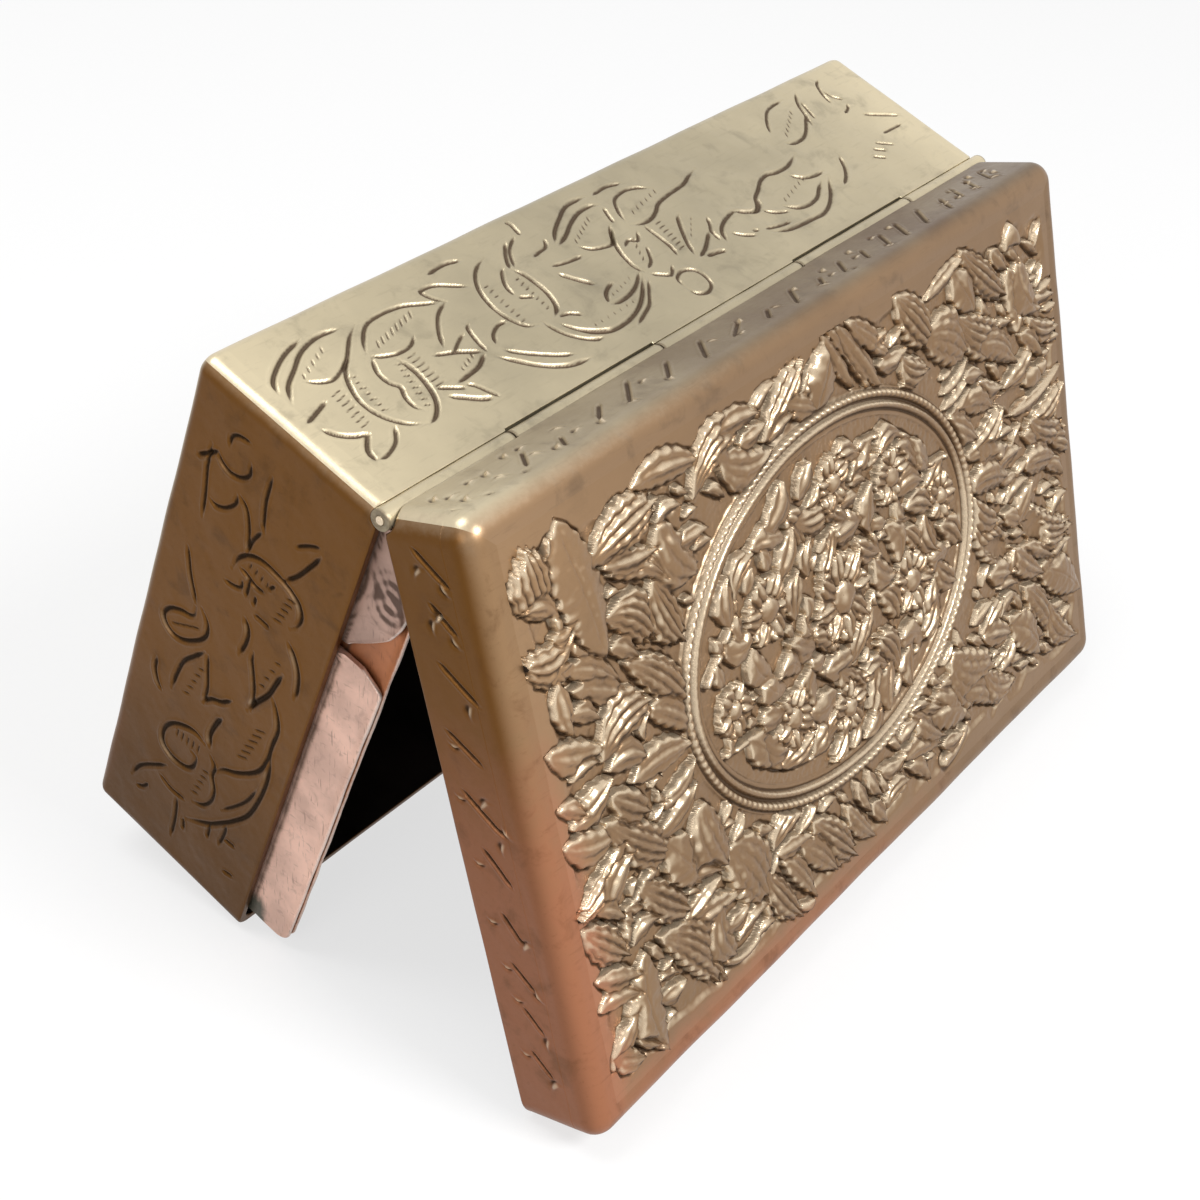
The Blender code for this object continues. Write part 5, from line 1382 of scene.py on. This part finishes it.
def all_finishes():
    """Every finish by name, made once."""
    if bpy.data.materials.get("strip_silver"):
        return bpy.data.materials
    colours = bpy.context.scene.silver_colours
    # Each pair is a dark and a pale copy of one colour; the painted pool of light picks the pale copy.
    strip = (shade(colours.strip, 0.58), shade(colours.strip, 1.42))
    lid_strip = (shade(colours.panel, 0.42), shade(colours.strip, 1.25))
    panel = (shade(colours.panel, 0.80), shade(colours.panel, 1.15))
    toned_and_reflection = (shade(colours.toned_and_reflection, 0.62), colours.toned_and_reflection)
    lid_toned_and_reflection = (shade(colours.toned_and_reflection, 0.8), shade(colours.toned_and_reflection, 0.92))
    browned = {"stain": 0.4, "metallic": 0.85, "specular": 0.2}
    silver_finish("strip_silver", strip, strip)
    silver_finish("lid_strip_silver", lid_strip, panel)
    silver_finish("panel_silver", panel, panel, stain=0.22, shine=0.70, specular=0.3)
    # The browned walls' brown-orange is partly a painted warm reflection from below.
    silver_finish("toned_walls_with_reflection", toned_and_reflection, strip, roughness=0.42, shine=0.3, hollow_shade=0.35, **browned)
    silver_finish("lid_toned_walls", lid_toned_and_reflection, panel, roughness=0.40, shine=0.4, hollow_shade=0.4, **browned)
    silver_finish("hinge_tube", strip, strip, stain=0.45)
    silver_finish("pin_head", (colours.polish_and_highlight_colour, colours.polish_and_highlight_colour), strip, stain=0.3, roughness=0.28)
    painted_shade_inside_finish()
    bare_finish("bare_sheet", colours.bare, crud=0.95)
    bare_finish("stained_sheet", shade(colours.bare, 0.62), swirl=0.95)
    # The liner is painted dark orange for the shade it stands in behind the flange and lobe, with a painted
    # warm reflection.
    bare_finish("painted_shade_warm_sheet", colours.liner)
    return bpy.data.materials


# Pieces

# The strips' outlines seen from the end: depth and height above the body's rim
FLANGE_BACK = ((18.1, 2.6), (18.7, 4.1), (19.1, 4.85), (19.4, 5.07))
LINER_BACK = ((BEZEL_START, 1.0), (7.2, 4.0), (8.4, 4.62), (9.4, 4.95), (10.5, BEZEL_PROUD))
EAR_OUTLINE = (
    (BEZEL_START, 1.0), (2.7, 1.28), (4.7, 3.06), (6.95, 4.49), (9.15, 4.9), (10.8, 4.69),
    (12.85, 3.98), (14.5, 2.6), (15.65, 1.43), (16.66, 0.3),
)
BEZEL_LEVEL_END = 57.5
SWIRL_MIDDLE = (8.6, 2.9)


def surface_pitch():
    """The spacing of points on chased surfaces, in millimetres."""
    pitch = bpy.context.scene.silver_sizes.pitch / MM
    return pitch


class SilverOperator(bpy.types.Operator):
    """What the operators share."""

    bl_options = {"REGISTER", "UNDO"}

    def execute(self, context):
        """Make the piece or the pieces."""
        self.make(both_halves(), all_finishes())
        return {"FINISHED"}


class SILVER_OT_lid_panel(SilverOperator):
    """Chase the lid's panel: leaves all over, and a ringed medallion of blossoms"""

    bl_idname = "silver.lid_panel"
    bl_label = "Lid panel"

    def make(self, halves, finishes):
        """Four tiles that meet edge to edge and share one relief."""
        pitch = surface_pitch()
        work = chase_lid_panel(pitch)
        # Painted highlight and painted shade: relief slopes rising along (0.6, 0.8) are brightened, and those
        # falling along it are darkened.
        marks = work.marks(pitch, (0.6, 0.8))
        column, row = len(work.along) // 2, len(work.across) // 2
        sides = {"near": slice(0, column + 1), "far": slice(column, None)}
        materials = [finishes["panel_silver"], finishes["painted_shade_inside"]]
        for level, across in {"upper": slice(0, row + 1), "lower": slice(row, None)}.items():
            for side, along in sides.items():
                piece = build_slab(
                    halves[LID], "lid_panel_" + side + "_" + level, work, (along, across), materials,
                    "chased_silver", *marks,
                )
                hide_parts("lid_top_panel")


class SILVER_OT_body_panel(SilverOperator):
    """Lay the body's plain underside, with slow dents only"""

    bl_idname = "silver.body_panel"
    bl_label = "Body underside"

    def make(self, halves, finishes):
        """One tile with a coarse grid."""
        columns, rows = 190, 112
        work = panel_grid(columns, rows)
        x, y = work.grid()
        inner = np.minimum.reduce([x - BORDER, LENGTH - BORDER - x, y - BORDER, DEPTH - BORDER - y])
        dents = 0.05 * value_noise(x, y, 6.0, 11) + 0.02 * value_noise(x, y, 2.1, 12)
        work.height = smooth_step(0, 6, inner) * dents
        piece = build_slab(
            halves[BODY], "body_underside", work, (slice(None), slice(None)),
            [finishes["strip_silver"], finishes["painted_shade_inside"]], "worn_silver",
            np.clip(value_noise(x, y, 9.0, 13) * 0.3, 0, 1), np.zeros_like(x),
        )
        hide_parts("body_bottom_panel")


def turned(span, cuts, hatches=(), commas=()):
    """The same cuts, shading and commas turned end for end."""
    return (
        [(weight, *[(span - a, h) for a, h in points]) for weight, *points in cuts],
        [(span - a0, h0, span - a1, h1, size, -angle, count)
         for a0, h0, a1, h1, size, angle, count in hatches],
        [(span - a, h) for a, h in commas],
    )


def build_walls(half, finishes, walls):
    """A half's walls, each from its name, how coarse its grid is, its finish, a seed and its ornament."""
    for wall, coarseness, finish, seed, ornament in walls:
        materials = [finishes[finish], finishes["painted_shade_inside"]]
        build_wall(half, wall, surface_pitch() * coarseness, materials, seed, ornament)


class SILVER_OT_body_walls(SilverOperator):
    """Engrave the body's four walls with scrolling leaves"""

    bl_idname = "silver.body_walls"
    bl_label = "Body walls"

    def make(self, halves, finishes):
        """The back and left walls as seen; the front and right ones carry the same work turned round."""
        build_walls(halves[BODY], finishes, (
            ("back", 1.30, "strip_silver", 31, (BACK_CUTS, BACK_HATCHES)),
            ("left", 1.05, "toned_walls_with_reflection", 33, (LEFT_CUTS, LEFT_HATCHES)),
            ("front", 1.5, "toned_walls_with_reflection", 35, turned(LENGTH, BACK_CUTS, BACK_HATCHES)),
            ("right", 1.3, "toned_walls_with_reflection", 37, turned(DEPTH, LEFT_CUTS, LEFT_HATCHES)),
        ))


class SILVER_OT_lid_walls(SilverOperator):
    """Punch the lid's four walls with slanting cuts and commas"""

    bl_idname = "silver.lid_walls"
    bl_label = "Lid walls"

    def make(self, halves, finishes):
        """The back and left walls as seen; the other two carry the same work turned round."""
        build_walls(halves[LID], finishes, (
            ("back", 1, "lid_strip_silver", 41, (LID_BACK_CUTS, (), LID_BACK_COMMAS)),
            ("left", 1, "lid_toned_walls", 43, (LID_LEFT_CUTS, (), LID_LEFT_COMMAS, LID_LEFT_DOTS)),
            ("front", 1.3, "lid_toned_walls", 45, turned(LENGTH, LID_BACK_CUTS, (), LID_BACK_COMMAS)),
            ("right", 1.2, "lid_toned_walls", 47, turned(DEPTH, LID_LEFT_CUTS, (), LID_LEFT_COMMAS)),
        ))


def sheet_piece(name, half, material, depths, tops, inset, from_left, foot, seed):
    """A strip of sheet standing on edge: its section, rounded at the top, carried along the end wall.

    The section's height follows the outline at each depth. Its foot flares out as solder.
    """
    side_rows, top_rows = 14, 7
    turn = np.linspace(0, math.pi, top_rows)
    zeros, ones = np.zeros(side_rows), np.ones(top_rows)
    section_in = np.concatenate([zeros, SHEET / 2 - SHEET / 2 * np.cos(turn), np.full(side_rows, SHEET)])
    climb = np.concatenate([np.linspace(0, 1, side_rows), ones, np.linspace(1, 0, side_rows)])
    crown = np.concatenate([zeros, np.sin(turn) * SHEET / 2, zeros])
    top = tops[None, :] - SHEET / 2
    rise = -BEZEL_TUCK + climb[:, None] * (top + BEZEL_TUCK) + crown[:, None]
    depth = np.repeat(depths[None, :], len(climb), axis=0)
    outer = (np.arange(len(climb)) <= side_rows)[:, None]
    dents = 0.05 * value_noise(depth, rise, 2.3, seed) + 0.02 * value_noise(depth, rise, 0.8, seed + 1)
    uneven = 0.75 + 0.5 * value_noise(depth, depth * 0, 1.1, seed + 2)
    flare = foot * np.exp(-((rise + 0.1) / 0.35) ** 2) * uneven
    across = inset + section_in[:, None] + dents - flare * outer
    along = across if from_left else LENGTH - across
    rise = rise + 0.05 * value_noise(depth, depth * 0, 3.0, seed + 3) * climb[:, None]
    points = half.place(along, depth, -rise)
    rows, columns = rise.shape
    ahead, above = depth - SWIRL_MIDDLE[0], rise - SWIRL_MIDDLE[1]
    away = np.hypot(above, ahead * 0.8)
    rings = 0.5 + 0.5 * np.cos(2 * math.pi * away / 0.95 - np.arctan2(above, ahead))
    marks = {
        "hollow": np.clip(1 - np.abs(rise + 0.02) / 0.5, 0, 1) * 0.9,
        "rubbed": np.clip(1 - (tops[None, :] - rise) / 0.35, 0, 1),
        "tone": smooth_step(53, 59, depth) * smooth_step(3.4, 0.4, rise),
        "proud_and_highlight": np.zeros_like(rise), "painted_light_and_swirl": rings * np.exp(-((away / 2.4) ** 2)),
    }
    faces = grid_faces(rows, columns, rows_join=True)
    return put_piece(name, BODY, points, faces, [material], marks, caps=end_caps(rows, columns))


class SILVER_OT_bezel(SilverOperator):
    """Set the liner, the flange and the lobe at both ends of the body"""

    bl_idname = "silver.bezel"
    bl_label = "Bezel strips"

    def make(self, halves, finishes):
        """Each strip follows the outline of its solid."""
        front = np.linspace(0, math.pi / 2, 9)
        round_front = BEZEL_FRONT - BEZEL_ROUND + BEZEL_ROUND * np.sin(front)
        round_top = BEZEL_PROUD - BEZEL_ROUND + BEZEL_ROUND * np.cos(front)

        def outline(back, back_outline, start, count):
            """Depths and tops: up the back outline, level to the front's round and down over it."""
            level = np.linspace(start, BEZEL_LEVEL_END, count)
            depths = np.concatenate([back, level, round_front])
            rising = np.interp(back, *zip(*back_outline))
            return depths, np.concatenate([rising, np.full(count, BEZEL_PROUD), round_top])

        flange = outline(np.linspace(18.1, 19.4, 7), FLANGE_BACK, 19.6, 150)
        liner = outline(np.linspace(BEZEL_START, 10.5, 30), LINER_BACK, 10.8, 90)
        ear_depth = np.linspace(BEZEL_START, EAR_OUTLINE[-1][0], 80)
        ear_top = np.interp(ear_depth, *zip(*EAR_OUTLINE))
        ear_top = box_blur(np.stack([ear_top] * 3), 2)[0] * 0.6 + ear_top * 0.4
        made = (
            ("flange", "bare_silver", "bare_sheet", flange, FLANGE_INSET, 0.28),
            ("ear", "bare_silver", "stained_sheet", (ear_depth, ear_top), FLANGE_INSET, 0.1),
            ("liner", "warm_silver", "painted_shade_warm_sheet", liner, LINER_INSET, 0.0),
        )
        for word, first_seed in (("left", 61), ("right", 71)):
            for index, (kind, slot, finish, (depths, tops), inset, foot) in enumerate(made):
                name = "body_" + word + "_" + kind
                piece = sheet_piece(
                    name + "_sheet", halves[BODY], finishes[finish], depths, tops, inset,
                    word == "left", foot, first_seed + index * 4,
                )
                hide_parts(name)


def turned_piece(name, body, material, stations, radii, marks, joined, wander=0.0):
    """A piece turned about the hinge axis from stations along it and a radius at each."""
    count = 48
    angle = np.arange(count) / count * 2 * math.pi
    wobble = wander * np.sin(stations * 0.9)[:, None] * np.cos(angle * 2 + stations[:, None] * 0.2)
    radius = radii[:, None] + wobble * (radii[:, None] > 0.5)
    x = np.repeat(stations[:, None], count, axis=1)
    y = HINGE_Y + radius * np.cos(angle)
    z = HINGE_Z + radius * np.sin(angle)
    points = np.stack([x - LENGTH / 2, y, z], axis=-1) * MM
    faces = grid_faces(len(stations), count, rows_join=joined, columns_join=True)
    caps = [] if joined else [np.arange(count), (len(stations) - 1) * count + np.arange(count)[::-1]]
    spread = {key: np.repeat(value[:, None], count, axis=1) for key, value in marks.items()}
    return put_piece(name, body, points, faces, [material], spread, caps=caps)


class SILVER_OT_hinge(SilverOperator):
    """Turn the five hinge tubes and the pin that joins them"""

    bl_idname = "silver.hinge"
    bl_label = "Hinge"

    def make(self, halves, finishes):
        """Tubes with softened ends, and a pin with hammered heads."""
        rows = 40
        last = len(KNUCKLE_JOINT_SHARES) - 2
        soft = np.array([0.0, 0.0, 0.03, 0.09])
        steps = np.array([BORE_RADIUS, KNUCKLE_RADIUS - 0.09, KNUCKLE_RADIUS - 0.03, KNUCKLE_RADIUS])
        for index, (start, end) in enumerate(zip(KNUCKLE_JOINT_SHARES[:-1], KNUCKLE_JOINT_SHARES[1:])):
            owner = BODY if index % 2 == 0 else LID
            x0 = LENGTH * start + (KNUCKLE_GAP if index > 0 else 0)
            x1 = LENGTH * end - (KNUCKLE_GAP if index < last else 0)
            stations = np.concatenate([x0 + soft, np.linspace(x0 + 0.5, x1 - 0.5, rows), (x1 - soft)[::-1]])
            radii = np.concatenate([steps, np.full(rows, KNUCKLE_RADIUS), steps[::-1]])
            at_end = np.concatenate([np.ones(4), np.zeros(rows), np.ones(4)])
            # The light mark paints each tube paler towards the hinge's left end, as a painted pool of light.
            marks = {
                "hollow": at_end * 0.63, "rubbed": np.where(at_end > 0, 0.2, 0.35),
                "proud_and_highlight": at_end * 0, "tone": at_end * 0, "painted_light_and_swirl": painted_light_and_swirl(halves[BODY], stations, 0.0, 1.0),
            }
            name = owner + "_knuckle_" + str(index + 1)
            piece = turned_piece(
                name + "_tube", owner, finishes["hinge_tube"],
                stations, radii, marks, True, 0.015,
            )
            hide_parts(name)
        turn = np.linspace(0.12, math.pi / 2, 6)
        head = PIN_OVERHANG * (1 - np.cos(turn))
        rod = np.linspace(1, LENGTH - 1, 12)
        stations = np.concatenate([head - PIN_OVERHANG, rod, (LENGTH + PIN_OVERHANG - head)[::-1]])
        head_radii = PIN_HEAD_RADIUS * np.sin(turn)
        radii = np.concatenate([head_radii, np.full(12, PIN_RADIUS), head_radii[::-1]])
        worn = np.concatenate([np.ones(6), np.zeros(12), np.ones(6)])
        marks = {"hollow": worn * 0, "rubbed": worn, "proud_and_highlight": worn * 0, "tone": worn * 0}
        pin = turned_piece(
            "hinge_pin_rod", BODY, finishes["pin_head"], stations, radii, marks, False,
        )
        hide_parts("hinge_pin")


class SILVER_OT_bearers(SilverOperator):
    """Finish the two hinge bearers, which keep the shape of their solids"""

    bl_idname = "silver.bearers"
    bl_label = "Hinge bearers"

    def make(self, halves, finishes):
        """The inside finish, painted nearly black as shade, on both."""
        for name in ("body_hinge_bearer", "lid_hinge_bearer"):
            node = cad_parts[name]
            node.data.materials.clear()
            node.data.materials.append(finishes["painted_shade_inside"])


class SILVER_OT_stage(bpy.types.Operator):
    """Lay the floor, hang the lamps and set the camera"""

    bl_idname = "silver.stage"
    bl_label = "Stage"

    def execute(self, context):
        """A pale floor, three soft lamps, a white surround and the camera."""
        scene = context.scene
        scene.view_settings.view_transform = "Standard"
        self.lay_floor(scene)
        self.light(scene)
        self.set_camera(scene)
        return {"FINISHED"}

    def lay_floor(self, scene):
        """A wide square of paper under the box."""
        side = 1.6
        corners = [(-side, -side, 0), (side, -side, 0), (side, side, 0), (-side, side, 0)]
        mesh = bpy.data.meshes.new("paper_floor")
        mesh.from_pydata(corners, [], [(0, 1, 2, 3)])
        floor = bpy.data.objects.new("paper_floor", mesh)
        scene.collection.objects.link(floor)
        finish = Finish("paper")
        grain = finish.noise(1.2, detail=2)
        pale = scene.silver_colours.floor
        colour = finish.blend(grain, shade(pale, 0.98), shade(pale, 1.02))
        paper = finish.metal(colour, 0.8 + grain * 0.1, 0.0, grain, 0.05, 0.1)
        white = finish.node("ShaderNodeEmission", {}, {"Color": WHITE, "Strength": 1.0})
        finish.close(finish.node("ShaderNodeMixShader", {}, {0: finish.seen() * 0.7, 1: paper, 2: white}))
        mesh.materials.append(finish.material)

    def light(self, scene):
        """Soft area lamps; the surround is white to the camera and to reflections, dimmer as a light."""
        lamps = (
            ("key_lamp", (0.03, -0.42, 0.44), 0.2, 2.6),
            ("top_lamp", (-0.12, 0.2, 0.6), 0.34, 1.6),
            ("left_lamp", (-0.5, -0.1, 0.3), 0.3, 0.5),
        )
        middle = Vector((0, 0, 0.03))
        for name, spot, size, power in lamps:
            data = bpy.data.lights.new(name, "AREA")
            data.shape = "DISK"
            data.size = size
            data.energy = power
            lamp = bpy.data.objects.new(name, data)
            lamp.location = spot
            aim = middle - lamp.location
            lamp.rotation_mode = "QUATERNION"
            lamp.rotation_quaternion = aim.to_track_quat("-Z", "Y")
            scene.collection.objects.link(lamp)
        world = bpy.data.worlds.new("soft_surround")
        scene.world = world
        sky = Nodes(world)
        dim, white = [
            sky.node("ShaderNodeBackground", {}, {"Color": WHITE, "Strength": strength})
            for strength in (0.35, 1.0)
        ]
        mixed = sky.node("ShaderNodeMixShader", {}, {0: sky.seen(), 1: dim, 2: white})
        sky.node("ShaderNodeOutputWorld", {}, {"Surface": mixed})

    def set_camera(self, scene):
        """The camera at the photograph's place and angle, as fitted to its straight edges."""
        data = bpy.data.cameras.new("camera")
        data.lens = 60.1753
        data.sensor_width = 36
        camera = bpy.data.objects.new("camera", data)
        right = (0.60287077, -0.79453701, 0.07251056)
        down = (-0.43034243, -0.40036326, -0.8090208)
        ahead = (0.67182753, 0.45653062, -0.58329029)
        spot = (-0.1495865, -0.0953, 0.14725919)
        camera.matrix_world = Matrix(
            [(right[i], -down[i], -ahead[i], spot[i]) for i in range(3)] + [(0, 0, 0, 1)]
        )
        data.clip_start = 0.005
        data.clip_end = 10
        scene.collection.objects.link(camera)
        scene.camera = camera


OPERATORS = (
    SILVER_OT_lid_panel, SILVER_OT_lid_walls, SILVER_OT_body_panel, SILVER_OT_body_walls,
    SILVER_OT_bezel, SILVER_OT_hinge, SILVER_OT_bearers, SILVER_OT_stage,
)


class SILVER_PT_panel(bpy.types.Panel):
    """Lists the pieces, the sizes and the colours"""

    bl_idname = "SILVER_PT_panel"
    bl_label = "Silver box"
    bl_space_type = "VIEW_3D"
    bl_region_type = "UI"
    bl_category = "Silver box"

    def draw(self, context):
        """One button for each operator, then the properties."""
        for operator in OPERATORS:
            self.layout.operator(operator.bl_idname)
        for group in (context.scene.silver_sizes, context.scene.silver_colours):
            for key in group.__annotations__:
                self.layout.prop(group, key)


CLASSES = (SilverSizes, SilverColours, *OPERATORS, SILVER_PT_panel)


def register():
    """Register the classes and hang the two groups of settings on the scene."""
    for each in CLASSES:
        bpy.utils.register_class(each)
    bpy.types.Scene.silver_sizes = bpy.props.PointerProperty(type=SilverSizes)
    bpy.types.Scene.silver_colours = bpy.props.PointerProperty(type=SilverColours)


def unregister():
    """Take the settings and the classes away again."""
    del bpy.types.Scene.silver_colours
    del bpy.types.Scene.silver_sizes
    for each in reversed(CLASSES):
        bpy.utils.unregister_class(each)


def main():
    """Make every piece in order."""
    register()
    for operator in OPERATORS:
        group, name = operator.bl_idname.split(".")
        getattr(getattr(bpy.ops, group), name)()
    bpy.context.view_layer.update()


if __name__ == "__main__":
    main()
